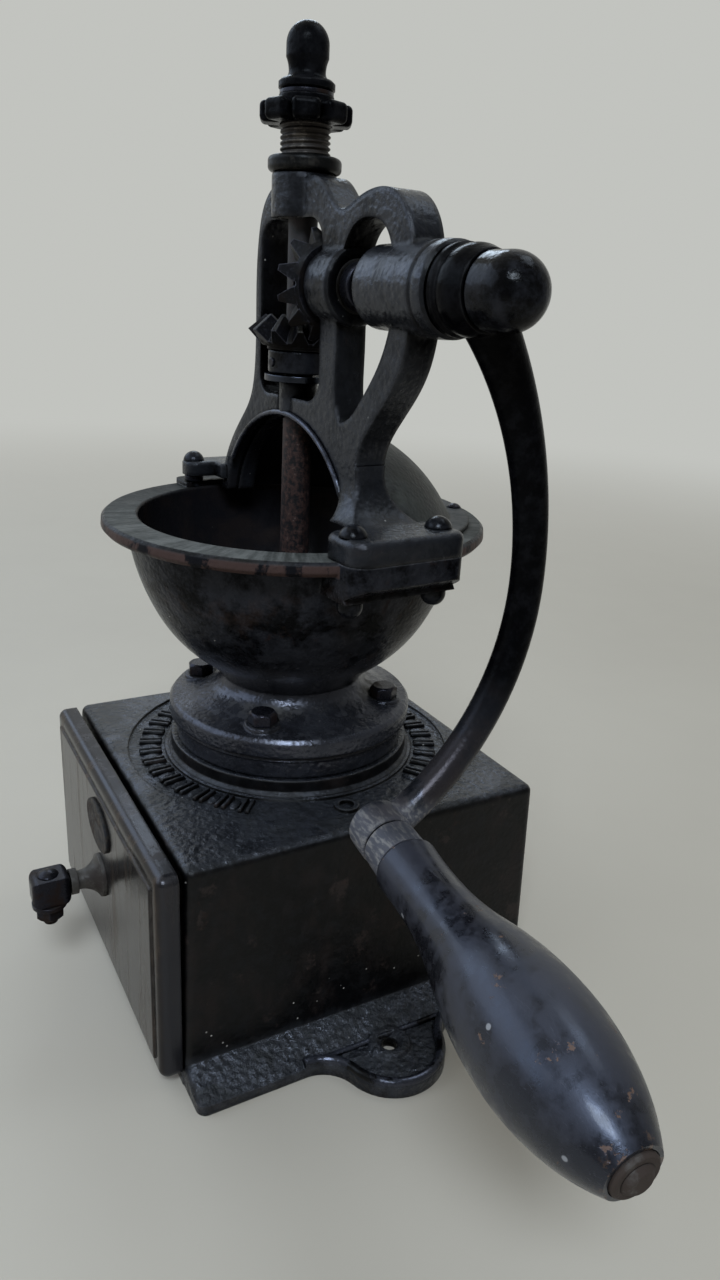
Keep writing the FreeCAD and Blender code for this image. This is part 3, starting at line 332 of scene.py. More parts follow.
def bowlZones(place, layers):
    level = across(place, 2)
    reach = axisReach(place)
    out = outwards(place)
    up = facing(place, 0.75, 0.95)
    spun = place.node("CombineXYZ", X=axisTurn(place) * 0.058, Y=reach * 0.12, Z=level * 0.5)
    drawn = noise(spun, 260, 4, 0.7)
    rim = up * level.step(*bowlLook["rimTopLevel"])
    pale = paint(bowlLook["rimPale"], bowlLook["rimDark"], drawn.step(0.38, 0.66))
    # painted shade: the pale rim is thinner on the far side, away from the crank
    away = 1.0 - across(place, 0).step(-0.07, 0.01)
    layers["colour"] = paint(pale, layers["colour"], rim * (0.6 + layers["broad"] * 0.55 - away * 0.8))
    ring = reach.band(*bowlLook["rimSideReach"], 0.0003)
    side = level.band(*bowlLook["rimSideLevel"], 0.0004) * ring * out
    chips = (noise(spun, 70, 6, 0.7, 0.5) + layers["fine"] * 0.12).step(0.55, 0.62)
    sideTone = paint(bowlLook["chips"], bowlLook["side"], chips)
    layers["colour"] = paint(sideTone, layers["colour"], side * 0.85)
    # the inside has painted shade towards the front and painted light, a pale bluish glow, towards the back
    # on the crank side
    inside = (1.0 - out) * level.step(*bowlLook["insideLevel"]) * (1.0 - rim)
    clouds = noise(place, 45, 4, 0.6, 0.8)
    bowl = paint(bowlLook["insideBrown"], bowlLook["inside"], clouds.step(0.42, 0.62))
    hanging = place.node("Mapping", Vector=place, Scale=(1.0, 1.0, 0.2))
    bowl = paint(bowlLook["drips"], bowl, noise(hanging, 150, 3).step(0.6, 0.72) * 0.7)
    backward = across(place, 0) * 0.6 + across(place, 1)
    shade = 1.0 - backward.step(-0.035, 0.03)
    # painted shade on the front of the inside
    bowl = paint(bowlLook["shade"], bowl, shade * 0.75)
    # painted light on the back of the inside
    bowl = paint(bowlLook["lit"], bowl, backward.step(0.0, 0.04) * 0.7)
    layers["colour"] = paint(bowl, layers["colour"], inside * 0.9)
    layers["height"] = layers["height"] * (1.0 - inside * 0.7)
    outer = out * level.band(*bowlLook["outsideLevel"], 0.004)
    brown = (noise(place, 40, 5, 0.68, 0.5) + layers["fine"] * 0.1).step(0.58, 0.74)
    layers["colour"] = paint(bowlLook["brown"], layers["colour"], outer * brown * 0.6)
    flange = (1.0 - level.step(*bowlLook["flangeLevel"])) * facing(place, 0.45, 0.8)
    silt = flange * (layers["middle"] + hollows(place, 0.012) * 0.7).step(0.50, 0.85)
    layers["colour"] = paint(bowlLook["silt"], layers["colour"], silt * 0.7)
    throat = 1.0 - level.step(*bowlLook["throatLevel"])
    sheen = (layers["sheen"] + throat * 0.65) * (1.0 - rim) * (1.0 - side)
    layers["sheen"] = sheen * (1.0 - inside) * (1.0 - silt * 0.8)
    layers["rough"] = layers["rough"] - throat * 0.06
    layers["rough"] = layers["rough"] + rim * 0.2 + side * 0.12 + silt * 0.3 + inside * 0.02


# Arch: more of the grey green film on the legs than on the top, painted shade that makes the gear window and
# other deep recesses black, and painted shade on the faces towards the crank side

archLook = {"gloss": 0.16, "dust": 0.14, "rust": 0.12, "wear": 0.6, "grain": 1.3, "grainScale": 520,
            "specular": 0.14, "round": 0.0026, "speck": 2.0, "sheen": 0.75,
            "sheenColour": (0.056, 0.059, 0.069),
            "film": (0.030, 0.031, 0.031), "footEnd": (0.030, 0.020, 0.018),
            "legLevel": (0.186, 0.245), "footLevel": (0.1885, 0.1905), "neckLevel": (0.272, 0.284),
            "barrelStart": (0.028, 0.040), "barrelLevel": (0.238, 0.290)}


def archZones(place, layers):
    level = across(place, 2)
    leg = level.band(*archLook["legLevel"], 0.018)
    # painted shade: faces that look towards the crank side get less film, and less sheen below, so they stay
    # dark
    side = crankSideShade(place)
    film = leg * (layers["broad"] * 0.6 + layers["middle"] * 0.6).step(0.46, 0.8) * (1.0 - side * 0.8)
    layers["colour"] = paint(archLook["film"], layers["colour"], film * 0.5)
    foot = 1.0 - level.step(*archLook["footLevel"])
    end = foot * noise(place, 60, 3).step(0.5, 0.6)
    layers["colour"] = paint(archLook["footEnd"], layers["colour"], end * 0.35)
    layers["rough"] = layers["rough"] + film * 0.15
    neck = level.step(*archLook["neckLevel"])
    # painted shade: black and without reflection deep in the gear window and other recesses, where light does
    # not reach
    deep = shelter(place, 0.026).step(0.26, 0.48)
    layers["joint"] = layers["joint"] + deep
    barrel = across(place, 0).step(*archLook["barrelStart"]) * level.band(*archLook["barrelLevel"], 0.004)
    glaze = layers["sheen"] + 0.06 + neck * 0.25 + leg * 0.4 + foot * 0.4 + barrel * 0.25
    glaze = glaze.most(1.0) * (1.0 - deep) * (1.0 - film * 0.4) * 0.76
    # painted shade: less sheen on the faces towards the crank side
    layers["sheen"] = glaze * (1.0 - side * (1.0 - (neck + leg) * 0.6) * 0.75)


# Half cover: dusty sheet iron, black on its hidden side

coverLook = {"gloss": 0.40, "dust": 0.6, "rust": 0.2, "wear": 0.5, "grain": 0.9, "specular": 0.2,
             "sheen": 0.2,
             "film": (0.058, 0.063, 0.054), "pits": (0.018, 0.016, 0.013), "inside": (0.006, 0.006, 0.007)}


def coverZones(place, layers):
    film = (layers["broad"] * 0.5 + layers["middle"] * 0.7).step(0.35, 0.85)
    layers["colour"] = paint(coverLook["film"], layers["colour"], film * 0.8)
    pits = noise(place, 420, 3, 0.7).step(0.6, 0.72)
    layers["colour"] = paint(coverLook["pits"], layers["colour"], pits * 0.6)
    inside = 1.0 - outwards(place)
    layers["colour"] = paint(coverLook["inside"], layers["colour"], inside * 0.9)


# Crank arm: worn brown and shiny towards the eye, which is grey with dust and scratches

armLook = {"gloss": 0.14, "dust": 0.02, "rust": 0.03, "wear": 0.3, "grain": 0.35, "specular": 0.03,
           "round": 0.0018, "sheen": 0.01,
           "brown": (0.046, 0.032, 0.026), "eyePale": (0.25, 0.24, 0.235), "eyeDark": (0.105, 0.107, 0.125),
           "wornLevel": (0.105, 0.150), "eyeLevel": (0.103, 0.110)}


def armZones(place, layers):
    level = across(place, 2)
    low = 1.0 - level.step(*armLook["wornLevel"])
    brown = low * (noise(place, 60, 5, 0.6) + layers["fine"] * 0.1).step(0.46, 0.62)
    layers["colour"] = paint(armLook["brown"], layers["colour"], brown * 0.75)
    eye = 1.0 - level.step(*armLook["eyeLevel"])
    slanted = place.node("Mapping", Vector=place, Scale=(0.3, 1.0, 1.0), Rotation=(0.6, 0.2, 0.4))
    scratched = noise(slanted, 700, 3)
    grey = paint(armLook["eyePale"], armLook["eyeDark"], scratched.step(0.45, 0.65))
    layers["colour"] = paint(grey, layers["colour"], eye * 0.8)
    layers["height"] = layers["height"] + scratched * eye
    layers["rough"] = layers["rough"] + brown * 0.12 + eye * 0.2
    layers["sheen"] = layers["sheen"] + low * (1.0 - brown * 0.5) * (1.0 - eye) * 0.9


# Oval plate: corroded bare face with a raised crust, dark pits and rusty brown between them

plateLook = {"gloss": 0.55, "dust": 1.0, "rust": 0.8, "wear": 0.5, "grain": 1.3, "grainScale": 420,
             "specular": 0.3, "crust": (0.060, 0.045, 0.032), "pits": (0.006, 0.005, 0.005)}


def plateZones(place, layers):
    crust = noise(place, 330, 5, 0.7, 0.8)
    layers["colour"] = paint(plateLook["crust"], layers["colour"], crust.step(0.42, 0.6) * 0.9)
    pits = 1.0 - crust.step(0.34, 0.44)
    layers["colour"] = paint(plateLook["pits"], layers["colour"], pits * 0.8)
    layers["height"] = layers["height"] + crust * 1.6


# Steels: paler on their edges, with rust in patches, dust on top, and black joints that are partly dirt and
# partly painted shade in corners

steelLooks = {
    "dark_steel": {"colour": (0.022, 0.022, 0.028), "rust": (0.018, 0.010, 0.007), "rustShare": 0.4,
                   "gloss": 0.22, "metal": 0.8, "edge": 3.0, "specular": 0.1, "dust": 0.15},
    "screw_steel": {"colour": (0.026, 0.026, 0.034), "rust": (0.020, 0.011, 0.008), "rustShare": 0.5,
                    "gloss": 0.20, "metal": 0.85, "edge": 3.5, "specular": 0.1, "dust": 0.15},
    "ring_steel": {"colour": (0.050, 0.056, 0.072), "rust": (0.018, 0.012, 0.010), "rustShare": 0.3,
                   "gloss": 0.14, "metal": 1.0, "edge": 1.5, "specular": 0.4, "dust": 0.0},
    "collar_steel": {"colour": (0.010, 0.010, 0.010), "rust": (0.026, 0.023, 0.019), "rustShare": 0.45,
                     "gloss": 0.26, "metal": 0.6, "edge": 3.0, "specular": 0.1, "dust": 0.0},
    "worn_thread": {"colour": (0.13, 0.115, 0.10), "rust": (0.012, 0.008, 0.006), "rustShare": 0.95,
                    "gloss": 0.24, "metal": 0.8, "edge": 4.0, "specular": 0.4, "dust": 0.0},
    "gear_iron": {"colour": (0.0045, 0.0045, 0.0055), "rust": (0.007, 0.005, 0.004), "rustShare": 0.6,
                  "gloss": 0.28, "metal": 0.0, "edge": 24.0, "specular": 0.10, "dust": 0.8},
    "pull_steel": {"colour": (0.060, 0.054, 0.048), "rust": (0.022, 0.015, 0.012), "rustShare": 0.7,
                   "gloss": 0.40, "metal": 0.4, "edge": 2.4, "specular": 0.4, "dust": 0.5},
    "tin_plate": {"colour": (0.32, 0.31, 0.29), "rust": (0.10, 0.06, 0.035), "rustShare": 0.3,
                  "gloss": 0.35, "metal": 0.9, "edge": 2.2, "specular": 0.4, "dust": 0.3},
    "dark_bronze": {"colour": (0.008, 0.006, 0.004), "rust": (0.004, 0.003, 0.002), "rustShare": 0.8,
                    "gloss": 0.38, "metal": 0.6, "edge": 1.4, "specular": 0.4, "dust": 0.0},
    "end_steel": {"colour": (0.085, 0.075, 0.068), "rust": (0.040, 0.026, 0.020), "rustShare": 1.1,
                  "gloss": 0.48, "metal": 0.3, "edge": 1.8, "specular": 0.4, "dust": 0.0},
}


def steelFinish(name, look):
    material, shader, place = newMaterial(name, specular=look["specular"])
    broad = noise(place, 95, 5, 0.65)
    fine = noise(place, ironScale["fine"], 3, 0.7)
    spread = 0.25 * look["rustShare"]
    patches = (broad + fine * 0.15).step(0.66 - spread, 0.82 - spread)
    lighter = tuple(min(1.0, c * look["edge"]) for c in look["colour"])
    smooth = rounded(place, 0.0006)
    tone = paint(lighter, look["colour"], edges(place, smooth) * 0.8 + fine.step(0.5, 0.75) * 0.2)
    tone = paint(look["rust"], tone, patches * 0.9)
    dust = facing(place, 0.5, 0.95) * (broad + fine * 0.2).step(0.45, 0.75) * look["dust"]
    tone = paint(ironColour["dust"], tone, dust)
    # black joints: partly dirt in seams, partly painted shade in corners, black and without reflection
    joint = shelter(place, 0.0035).step(0.5, 0.9) * 0.9
    plug(shader, "Base Color", paint(ironColour["joint"], tone, joint))
    plug(shader, "Roughness", look["gloss"] + patches * 0.3 + dust * 0.3 + fine * 0.12)
    metal = look["metal"] - (patches + dust).most(1.0) * look["metal"] * 0.8
    plug(shader, "Metallic", (metal + joint).most(1.0))
    bumped(place, shader, broad * 0.4 + fine * 0.4, 0.0003, 0.6, smooth)
    return material


# Vertical shaft: grey brown above the bowl, speckled dark rust inside it

shaftLook = {"black": (0.008, 0.007, 0.008), "rust": (0.052, 0.027, 0.022), "grey": (0.024, 0.0235, 0.025),
             "pale": (0.22, 0.18, 0.16), "greyLevel": (0.210, 0.235)}


def shaftFinish():
    material, shader, place = newMaterial("rusty_shaft", metallic=0.15, specular=0.35)
    speckled = noise(place, 620, 4, 0.75)
    broad = noise(place, 90, 4, 0.6)
    tone = paint(shaftLook["rust"], shaftLook["black"], speckled.step(0.40, 0.58))
    tone = paint(shaftLook["pale"], tone, speckled.step(0.62, 0.72) * 0.55)
    above = across(place, 2).step(*shaftLook["greyLevel"])
    tone = paint(shaftLook["grey"], tone, above * (0.5 + broad.step(0.35, 0.6) * 0.4))
    tone = paint(shaftLook["black"], tone, noise(place, 55, 3).step(0.56, 0.66) * 0.6)
    plug(shader, "Base Color", tone)
    plug(shader, "Roughness", 0.42 + speckled * 0.3)
    bumped(place, shader, speckled * 0.8 + broad * 0.3, 0.0004, 0.6)
    return material


# Grip: black lacquer on turned wood, with long scratches, dull scuffs and a few chips down to the wood

gripLook = {"lacquer": (0.0050, 0.0050, 0.0068), "scuffed": (0.020, 0.020, 0.026),
            "wood": (0.125, 0.070, 0.040), "scratch": (0.040, 0.040, 0.046), "dust": (0.30, 0.30, 0.31),
            "tint": (0.68, 0.76, 1.0, 1.0), "coat": 0.16, "coatRough": 0.14,
            "tilt": (0.0, -0.085, 0.072), "endFace": (0.213, 0.222)}


def gripFinish():
    material, shader, place = newMaterial("grip_lacquer", specular=0.62)
    shader.inputs["Specular Tint"].default_value = gripLook["tint"]
    shader.inputs["Coat Weight"].default_value = gripLook["coat"]
    shader.inputs["Coat Roughness"].default_value = gripLook["coatRough"]
    broad = noise(place, 32, 4, 0.6)
    middle = noise(place, 170, 5, 0.65)
    along = place.node("Mapping", Vector=place, Scale=(0.07, 1.0, 1.0), Rotation=gripLook["tilt"])
    scratch = noise(along, 1500, 3, 0.7).step(0.60, 0.72)
    dull = (middle * 0.7 + broad * 0.7).step(0.62, 0.82)
    tone = paint(gripLook["scuffed"], gripLook["lacquer"], dull * 0.9)
    tone = paint(gripLook["scratch"], tone, scratch * 0.5)
    chips = (noise(place, 105, 6, 0.75) + noise(place, 20, 1) * 0.35).step(0.80, 0.83)
    end = across(place, 0).step(*gripLook["endFace"])
    chipped = chips + end * noise(place, 210, 4, 0.7).step(0.56, 0.60)
    tone = paint(gripLook["wood"], tone, chipped.most(1.0) * 0.85)
    tone = paint(gripLook["dust"], tone, specks(place, 210, 0.03, 0.2) * 0.8)
    plug(shader, "Base Color", tone)
    plug(shader, "Roughness", 0.25 + dull * 0.22 + scratch * 0.12 + chips * 0.3)
    bumped(place, shader, broad * 0.8 + middle * 0.4 - chips * 0.5 + scratch * 0.05, 0.0009, 0.35)
    return material


# Drawer front: smooth glossy paint with upright streaks, brown in part as a painted reflection of a brown
# table, and a painted bluish sheen on the frame round the raised field

drawerLook = {"paint": (0.026, 0.023, 0.024), "worn": (0.050, 0.042, 0.037), "brown": (0.082, 0.058, 0.042),
              "sheenBorder": (0.044, 0.045, 0.052), "borderDepth": (-0.0795, -0.0775)}


def drawerFinish():
    material, shader, place = newMaterial("drawer_paint", metallic=0.75, specular=0.3)
    broad = noise(place, 26, 4, 0.6)
    middle = noise(place, 190, 4, 0.65)
    upright = streaks(place, 160, (1.0, 1.0, 0.10))
    tone = paint(drawerLook["worn"], drawerLook["paint"], (middle * 0.6 + broad * 0.6).step(0.5, 0.8) * 0.8)
    # brown streaks: partly stains, partly a painted reflection of a brown table
    tone = paint(drawerLook["brown"], tone, upright.step(0.50, 0.66) * 0.6)
    # painted sheen: a paler bluish frame round the raised field
    sheenBorder = across(place, 1).step(*drawerLook["borderDepth"])
    tone = paint(drawerLook["sheenBorder"], tone, sheenBorder * 0.8)
    smooth = rounded(place, 0.0012)
    worn = edges(place, smooth) * middle.step(0.4, 0.6)
    tone = paint(ironColour["bare"], tone, worn * 0.7)
    tone = paint(ironColour["dust"], tone, hollows(place, 0.004) * broad.step(0.35, 0.6) * 0.35)
    plug(shader, "Base Color", tone)
    plug(shader, "Roughness", 0.17 + broad * 0.1 + upright.step(0.5, 0.7) * 0.12)
    bumped(place, shader, broad * 0.8 + upright * 0.25 + middle * 0.15, 0.0007, 0.35, smooth)
    return material


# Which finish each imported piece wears

boxIron = ironFinish("box_iron", boxLook, boxZones)
bowlIron = ironFinish("bowl_iron", bowlLook, bowlZones)
archIron = ironFinish("arch_iron", archLook, archZones)
coverIron = ironFinish("cover_iron", coverLook, coverZones)
armIron = ironFinish("arm_iron", armLook, armZones)
capIron = ironFinish("cap_iron", capLook)
rimIron = ironFinish("rim_iron", rimLook)
finialIron = ironFinish("finial_iron", finialLook)
barePlate = ironFinish("bare_plate", plateLook, plateZones)
steels = {name: steelFinish(name, look) for name, look in steelLooks.items()}
rustyShaft = shaftFinish()
gripLacquer = gripFinish()
drawerPaint = drawerFinish()

finishOf = {
    "base_housing": boxIron, "hopper": bowlIron, "arch_frame": archIron, "lower_bush": archIron,
    "half_cover": coverIron, "drawer_front": drawerPaint, "oval_plate": barePlate, "grip": gripLacquer,
    "grip_ferrule": armIron, "crank_arm": armIron, "crank_cap": capIron, "wheel_collar": capIron,
    "arch_foot_bolts": capIron, "arch_foot_nuts": capIron, "finial_nut": finialIron,
    "star_nut": finialIron, "crankshaft": finialIron, "main_shaft": rustyShaft,
}
# what neither list names is dark steel
steelOf = {
    "drawer_tray": "tin_plate", "threaded_neck": "worn_thread", "lock_collar": "collar_steel",
    "shaft_washer": "ring_steel", "bevel_wheel": "gear_iron", "bevel_pinion": "gear_iron",
    "grinding_cone": "gear_iron", "burr_ring": "gear_iron", "pull_stem": "pull_steel",
    "inner_bush": "dark_bronze", "outer_bush": "dark_bronze", "end_washer": "end_steel",
    "handle_spindle": "end_steel", "hopper_screws": "screw_steel",
}

for name, node in nodes.items():
    node.data.materials.clear()
    node.data.materials.append(finishOf.get(name) or steels[steelOf.get(name, "dark_steel")])

print("stage: finishes on the packed pieces")


# New pieces

tubeSides = 12


def deselect():
    bpy.ops.object.select_all(action="DESELECT")


def openWhole():
    # edit mode, with all of the active piece selected
    bpy.ops.object.mode_set(mode="EDIT")
    bpy.ops.mesh.select_all(action="SELECT")


def pick(piece, chosen):
    # selects the faces of the piece that pass the test, and leaves it in edit mode
    bpy.ops.object.mode_set(mode="OBJECT")
    for polygon in piece.data.polygons:
        polygon.select = chosen(polygon)
    bpy.ops.object.mode_set(mode="EDIT")
    bpy.ops.mesh.select_mode(type="FACE")


def pickNone():
    bpy.ops.mesh.select_all(action="DESELECT")
    bpy.ops.object.mode_set(mode="OBJECT")


def closeEnds(sides):
    # a face in each hole of up to so many sides, and all faces outwards
    bpy.ops.mesh.select_all(action="SELECT")
    bpy.ops.mesh.fill_holes(sides=sides)
    bpy.ops.mesh.select_all(action="SELECT")
    bpy.ops.mesh.normals_make_consistent(inside=False)
    pickNone()


def atOrigin(piece):
    deselect()
    piece.select_set(True)
    bpy.context.view_layer.objects.active = piece
    bpy.ops.object.transform_apply(location=True, rotation=True, scale=True)
    return piece


def startPiece(piece):
    # a fresh primitive with nothing selected in it, and its place and size taken into its mesh
    bpy.ops.object.mode_set(mode="EDIT")
    bpy.ops.mesh.select_mode(type="VERT")
    pickNone()
    return atOrigin(piece)


def startTube(radius, place, turn=(math.pi / 2, 0, 0)):
    # a ring of points, open in edit mode and ready to be swept
    deselect()
    bpy.ops.mesh.primitive_circle_add(vertices=tubeSides, radius=radius * mm, rotation=turn, location=place)
    tube = startPiece(bpy.context.object)
    openWhole()
    return tube


def joined(pieces):
    deselect()
    for piece in pieces:
        piece.select_set(True)
    bpy.context.view_layer.objects.active = pieces[0]
    bpy.ops.object.join()
    return bpy.context.object


def placed(model, angle):
    # a copy with its own mesh, turned about the vertical shaft
    copy = model.copy()
    copy.data = model.data.copy()
    bpy.context.collection.objects.link(copy)
    copy.rotation_euler = (0, 0, angle)
    return copy


def dress(piece, name, material, smoothBelow):
    # what every finished piece gets: shading, name, finish and body
    bpy.ops.object.shade_smooth_by_angle(angle=math.radians(smoothBelow))
    piece.name = name
    piece.data.name = name
    piece.data.materials.clear()
    piece.data.materials.append(material)
    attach(piece, "base")


# Threaded neck

neckShape = {"radius": 8.4, "root": 7.7, "bore": 5.1, "pitch": 1.75, "threadLow": 300.0, "turns": 8,
             "steps": 64, "rootHalf": 0.80, "crestHalf": 0.20, "sink": 0.12}


def neckCore():
    # plain tube below, thinner where the thread runs, with a bore right through
    low, high = (corner.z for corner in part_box("threaded_neck"))
    n = neckShape
    mid = n["threadLow"] * mm
    deselect()
    bpy.ops.mesh.primitive_cylinder_add(vertices=96, radius=n["radius"] * mm, depth=mid - low,
                                        location=(0, 0, (low + mid) / 2))
    core = startPiece(bpy.context.object)
    pick(core, lambda face: face.normal.z > 0.9)
    bpy.ops.mesh.inset(thickness=(n["radius"] - n["root"]) * mm)
    bpy.ops.mesh.extrude_region_move(TRANSFORM_OT_translate={"value": (0, 0, high - mid)})
    pick(core, lambda face: face.normal.z > 0.9 and face.center.z > high - 0.0001)
    bpy.ops.mesh.inset(thickness=(n["root"] - n["bore"]) * mm)
    pick(core, lambda face: face.normal.z < -0.9)
    bpy.ops.mesh.inset(thickness=(n["radius"] - n["bore"]) * mm)
    pick(core, lambda face: abs(face.normal.z) > 0.9 and len(face.vertices) > 8)
    bpy.ops.mesh.bridge_edge_loops()
    pickNone()
    return core


def neckRidge():
    # one thread ridge: a small trapezoid swept up a helix
    n = neckShape
    deep = n["root"] - n["sink"]
    centre = ((deep + n["radius"]) / 2 * mm, 0, (n["threadLow"] + n["rootHalf"]) * mm)
    deselect()
    bpy.ops.mesh.primitive_plane_add(size=1.0, location=centre, rotation=(math.pi / 2, 0, 0))
    ridge = bpy.context.object
    ridge.scale = ((n["radius"] - deep) * mm, 2 * n["rootHalf"] * mm, 1)
    startPiece(ridge)
    for vertex in ridge.data.vertices:
        vertex.select = vertex.co.x > (n["radius"] - 0.1) * mm
    bpy.ops.object.mode_set(mode="EDIT")
    bpy.ops.transform.resize(value=(1, 1, n["crestHalf"] / n["rootHalf"]))
    pickNone()
    screw = ridge.modifiers.new("helix", "SCREW")
    screw.axis = "Z"
    screw.angle = 2 * math.pi
    screw.screw_offset = n["pitch"] * mm
    screw.iterations = n["turns"]
    screw.steps = n["steps"]
    screw.render_steps = n["steps"]
    bpy.ops.object.modifier_apply(modifier=screw.name)
    openWhole()
    bpy.ops.mesh.remove_doubles(threshold=0.000001)
    closeEnds(4)
    return ridge


def makeNeck():
    neck = joined([neckCore(), neckRidge()])
    dress(neck, "neck_thread", steels["worn_thread"], 35)
    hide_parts("threaded_neck")


# Raised bead and reel band round the top of the box

bandShape = {"radius": 56.3, "floor": 85.0, "high": 0.85, "firstAngle": 30.0, "lastAngle": 322.0,
             "units": 33, "barLong": 9.0, "barWide": 1.5, "barTop": (0.93, 0.62, 1), "barEdge": 0.22,
             "barSink": 0.2, "barApart": 1.3125, "barAhead": 0.24, "beadLong": 7.4, "beadWide": 4.0,
             "beadSink": 0.1, "beadCut": 0.15, "beadBack": 0.28}


def makeBar():
    b = bandShape
    deselect()
    bpy.ops.mesh.primitive_cube_add(size=1.0, location=(b["radius"] * mm, 0, b["floor"] * mm))
    bar = bpy.context.object
    bar.scale = (b["barLong"] * mm, b["barWide"] * mm, 2 * b["high"] * mm)
    startPiece(bar)
    pick(bar, lambda face: face.normal.z > 0.9)
    bpy.ops.transform.resize(value=b["barTop"])
    bpy.ops.mesh.bevel(offset=b["barEdge"] * mm, segments=2)
    pick(bar, lambda face: face.normal.z < -0.9)
    bpy.ops.transform.translate(value=(0, 0, (b["high"] - b["barSink"]) * mm))
    pickNone()
    return bar


def makeBead():
    b = bandShape
    deselect()
    bpy.ops.mesh.primitive_uv_sphere_add(segments=16, ring_count=10, radius=0.5,
                                         location=(b["radius"] * mm, 0, (b["floor"] - b["beadSink"]) * mm))
    bead = bpy.context.object
    bead.scale = (b["beadLong"] * mm, b["beadWide"] * mm, 2 * (b["high"] + b["beadSink"]) * mm)
    startPiece(bead)
    openWhole()
    bpy.ops.mesh.bisect(plane_co=(0, 0, (b["floor"] - b["beadCut"]) * mm), plane_no=(0, 0, 1),
                        use_fill=True, clear_inner=True)
    pickNone()
    return bead


def makeBand():
    # each unit of the band is a bead and two bars side by side
    b = bandShape
    bar = makeBar()
    bead = makeBead()
    unit = math.radians((b["lastAngle"] - b["firstAngle"]) / b["units"])
    apart = b["barApart"] / b["radius"]
    parts = []
    for i in range(b["units"]):
        angle = math.radians(b["firstAngle"]) + unit * (i + 0.5)
        parts.append(placed(bead, angle - unit * b["beadBack"]))
        for side in (-1, 1):
            parts.append(placed(bar, angle + unit * b["barAhead"] + side * apart))
    for model in (bar, bead):
        bpy.data.objects.remove(model)
    for part in parts:
        atOrigin(part)
    dress(joined(parts), "top_band", boxIron, 50)


# Rolled rims of the two foot ears, and the ridge where the foot's edge runs on across each ear

rimShape = {"middle": 93.0, "flankX": 103.5, "earRadius": 18.3, "flankRadius": 15.7, "height": 5.5,
            "thick": 1.7, "turn": 4.0, "boxMiddle": 4.0, "ridgeX": 88.2, "ridgeHigh": 4.6,
            "ridgeHalf": 31.0, "ridgeThick": 1.1, "tipThick": 0.3, "tipLong": 3.0, "tipDrop": 0.7}


def makeRim():
    # swept round the first flank, the ear and the second flank; spin turns clockwise here
    r = rimShape
    reach = r["earRadius"] + r["flankRadius"]
    off = r["flankX"] - r["middle"]
    flankY = math.sqrt(reach ** 2 - off ** 2)
    bend = math.atan2(flankY, off)
    first = (r["flankX"] - r["flankRadius"], flankY, r["height"])
    rim = startTube(r["thick"], tuple(value * mm for value in first))
    sweeps = ((r["flankX"], flankY, -bend), (r["middle"], 0, 2 * bend), (r["flankX"], -flankY, -bend))
    for x, y, angle in sweeps:
        steps = round(abs(math.degrees(angle)) / r["turn"])
        bpy.ops.mesh.spin(steps=steps, angle=angle, center=(x * mm, y * mm, 0), axis=(0, 0, 1))
    closeEnds(tubeSides)
    return rim


def makeRidge():
    # a straight bar with tapered ends
    r = rimShape
    half = r["ridgeHalf"]
    tip = r["tipLong"]
    drop = r["tipDrop"]
    first = (r["ridgeX"], half, r["ridgeHigh"] - drop)
    ridge = startTube(r["tipThick"], tuple(value * mm for value in first))
    grow = r["ridgeThick"] / r["tipThick"]
    for run, rise, scale in ((tip, drop, grow), (2 * (half - tip), 0.0, 1.0), (tip, -drop, 1 / grow)):
        bpy.ops.mesh.extrude_region_move(TRANSFORM_OT_translate={"value": (0, -run * mm, rise * mm)})
        bpy.ops.transform.resize(value=(scale, 1, scale))
    closeEnds(tubeSides)
    return ridge


def makeRims():
    near = joined([makeRim(), makeRidge()])
    far = placed(near, math.pi)
    far.location = (2 * rimShape["boxMiddle"] * mm, 0, 0)
    atOrigin(far)
    dress(joined([near, far]), "foot_rims", rimIron, 50)


# Rolled edge round the front of the arch's big opening

lipShape = {"reach": 47.7, "height": 170.6, "front": -6.1, "thick": 1.05, "firstAngle": 24.5,
            "lastAngle": 147.8, "steps": 62, "yaw": 4.7}


def makeLip():
    # swept from the near foot over the top to the far leg
    p = lipShape
    first = math.radians(p["firstAngle"])
    sweep = math.radians(p["lastAngle"] - p["firstAngle"])
    x, y, z = p["reach"] * math.cos(first), p["front"], p["height"] + p["reach"] * math.sin(first)
    lip = startTube(p["thick"], (x * mm, y * mm, z * mm), (0, -first, 0))
    bpy.ops.mesh.spin(steps=p["steps"], angle=sweep, center=(0, y * mm, p["height"] * mm), axis=(0, 1, 0))
    closeEnds(tubeSides)
    lip.rotation_euler = (0, 0, math.radians(p["yaw"]))
    atOrigin(lip)
    dress(lip, "arch_edge", rimIron, 50)


makeNeck()
makeBand()
makeRims()
makeLip()

print("stage: new pieces")


# Camera

photoCamera = {"place": (311.6, -148.5, 257.9), "yaw": 59.99, "pitch": 20.24, "roll": 3.15, "focal": 919.0,
               "imageHigh": 1280, "sensor": 36.0}


def makeCamera():
    c = photoCamera
    yaw, pitch, roll = (math.radians(c[key]) for key in ("yaw", "pitch", "roll"))
    right = Vector((math.cos(yaw), math.sin(yaw), 0))
    ahead = Vector((-math.sin(yaw), math.cos(yaw), 0))
    forward = math.cos(pitch) * ahead - math.sin(pitch) * Vector((0, 0, 1))
    up = math.sin(pitch) * ahead + math.cos(pitch) * Vector((0, 0, 1))
    side = math.cos(roll) * right + math.sin(roll) * up
    upright = -math.sin(roll) * right + math.cos(roll) * up
    data = bpy.data.cameras.new("camera")
    data.sensor_fit = "AUTO"
    data.sensor_width = c["sensor"]
    data.lens = c["sensor"] * c["focal"] / c["imageHigh"]
    data.clip_start = 0.01
    camera = bpy.data.objects.new("camera", data)
    bpy.context.scene.collection.objects.link(camera)
    turn = Matrix((side, upright, -forward)).transposed()
    camera.matrix_world = Matrix.Translation(Vector(c["place"]) * mm) @ turn.to_4x4()
    bpy.context.scene.camera = camera


# Floor and world

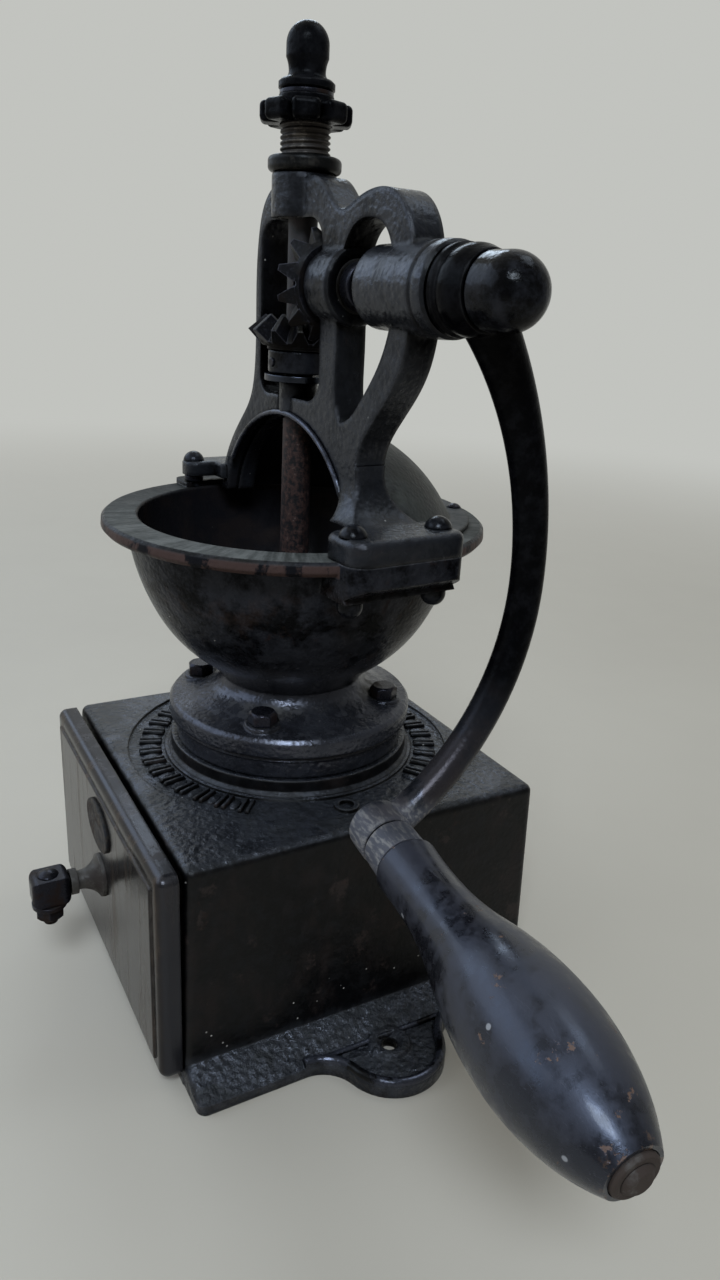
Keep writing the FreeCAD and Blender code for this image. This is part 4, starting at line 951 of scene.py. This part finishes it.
backColour = (0.60, 0.61, 0.58)
floorLook = {"size": 12.0, "pale": (0.47, 0.42, 0.35), "paler": (0.52, 0.47, 0.39),
             "fadeFrom": 0.35, "fadeTo": 1.7}
worldLook = {"farSide": 0.9, "nearSide": 0.28}


def wallLevel(side):
    # a pale wall on the far side and a dimmer room on the crank side
    wall = 1.0 - side.step(-0.5, 0.6)
    return worldLook["nearSide"] + wall * (worldLook["farSide"] - worldLook["nearSide"])


def makeFloor():
    deselect()
    bpy.ops.mesh.primitive_plane_add(size=floorLook["size"], location=(0, 0, 0))
    floor = bpy.context.object
    floor.name = "floor"
    material, shader, place = newMaterial("pale_floor")
    plug(shader, "Base Color", paint(floorLook["pale"], floorLook["paler"], noise(place, 6, 3)))
    plug(shader, "Roughness", 0.6 + noise(place, 40, 3) * 0.15)
    # far out the floor takes the wall's colour, so that no horizon shows
    tree = material.node_tree
    path = tree.nodes.new("ShaderNodeLightPath")
    seen = Wire(tree, path.outputs["Is Camera Ray"]) + Wire(tree, path.outputs["Is Glossy Ray"])
    seen = (seen + Wire(tree, path.outputs["Is Transmission Ray"])).most(1.0)
    reach = axisReach(place)
    far = reach.step(floorLook["fadeFrom"], floorLook["fadeTo"])
    level = wallLevel(place.math("DIVIDE", across(place, 0), reach))
    glow = place.node("Emission", Color=(*backColour, 1), Strength=level)
    mixed = place.node("MixShader", i0=far * seen, i1=Wire(tree, shader.outputs[0]), i2=glow)
    tree.links.new(mixed.socket, tree.nodes["Material Output"].inputs["Surface"])
    floor.data.materials.append(material)


def makeWorld():
    world = bpy.data.worlds.new("world")
    bpy.context.scene.world = world
    world.use_nodes = True
    tree = world.node_tree
    background = tree.nodes["Background"]
    way = Wire(tree, tree.nodes.new("ShaderNodeTexCoord").outputs["Generated"])
    background.inputs["Color"].default_value = (*backColour, 1)
    tree.links.new(wallLevel(across(way, 0)).socket, background.inputs["Strength"])


# Lamps

lampList = {
    "window": {"place": (0.75, -0.43, 1.02), "size": (0.42, 0.28), "power": 9.0, "colour": (0.74, 0.86, 1.0)},
    "sky": {"place": (-0.58, -0.72, 0.80), "size": (1.8, 0.7), "power": 6.4, "colour": (0.60, 0.76, 1.0)},
    "back": {"place": (-0.92, 0.34, 0.95), "size": (0.45, 0.3), "power": 2.6, "colour": (0.70, 0.84, 1.0)},
    "top": {"place": (0.08, 0.55, 1.3), "size": (0.6, 0.4), "power": 1.8, "colour": (0.74, 0.86, 1.0)},
}
lampTarget = (0, 0, 0.15)


def makeLamp(name, lamp):
    data = bpy.data.lights.new(name, "AREA")
    data.shape = "RECTANGLE"
    data.size, data.size_y = lamp["size"]
    data.energy = lamp["power"]
    data.color = lamp["colour"]
    light = bpy.data.objects.new(name, data)
    bpy.context.scene.collection.objects.link(light)
    light.location = lamp["place"]
    ray = Vector(lampTarget) - Vector(lamp["place"])
    light.rotation_euler = ray.to_track_quat("-Z", "Y").to_euler()


makeCamera()
makeFloor()
makeWorld()
for name, lamp in lampList.items():
    makeLamp(name, lamp)
bpy.context.scene.view_settings.view_transform = "Standard"

print("stage: floor, lights and camera")
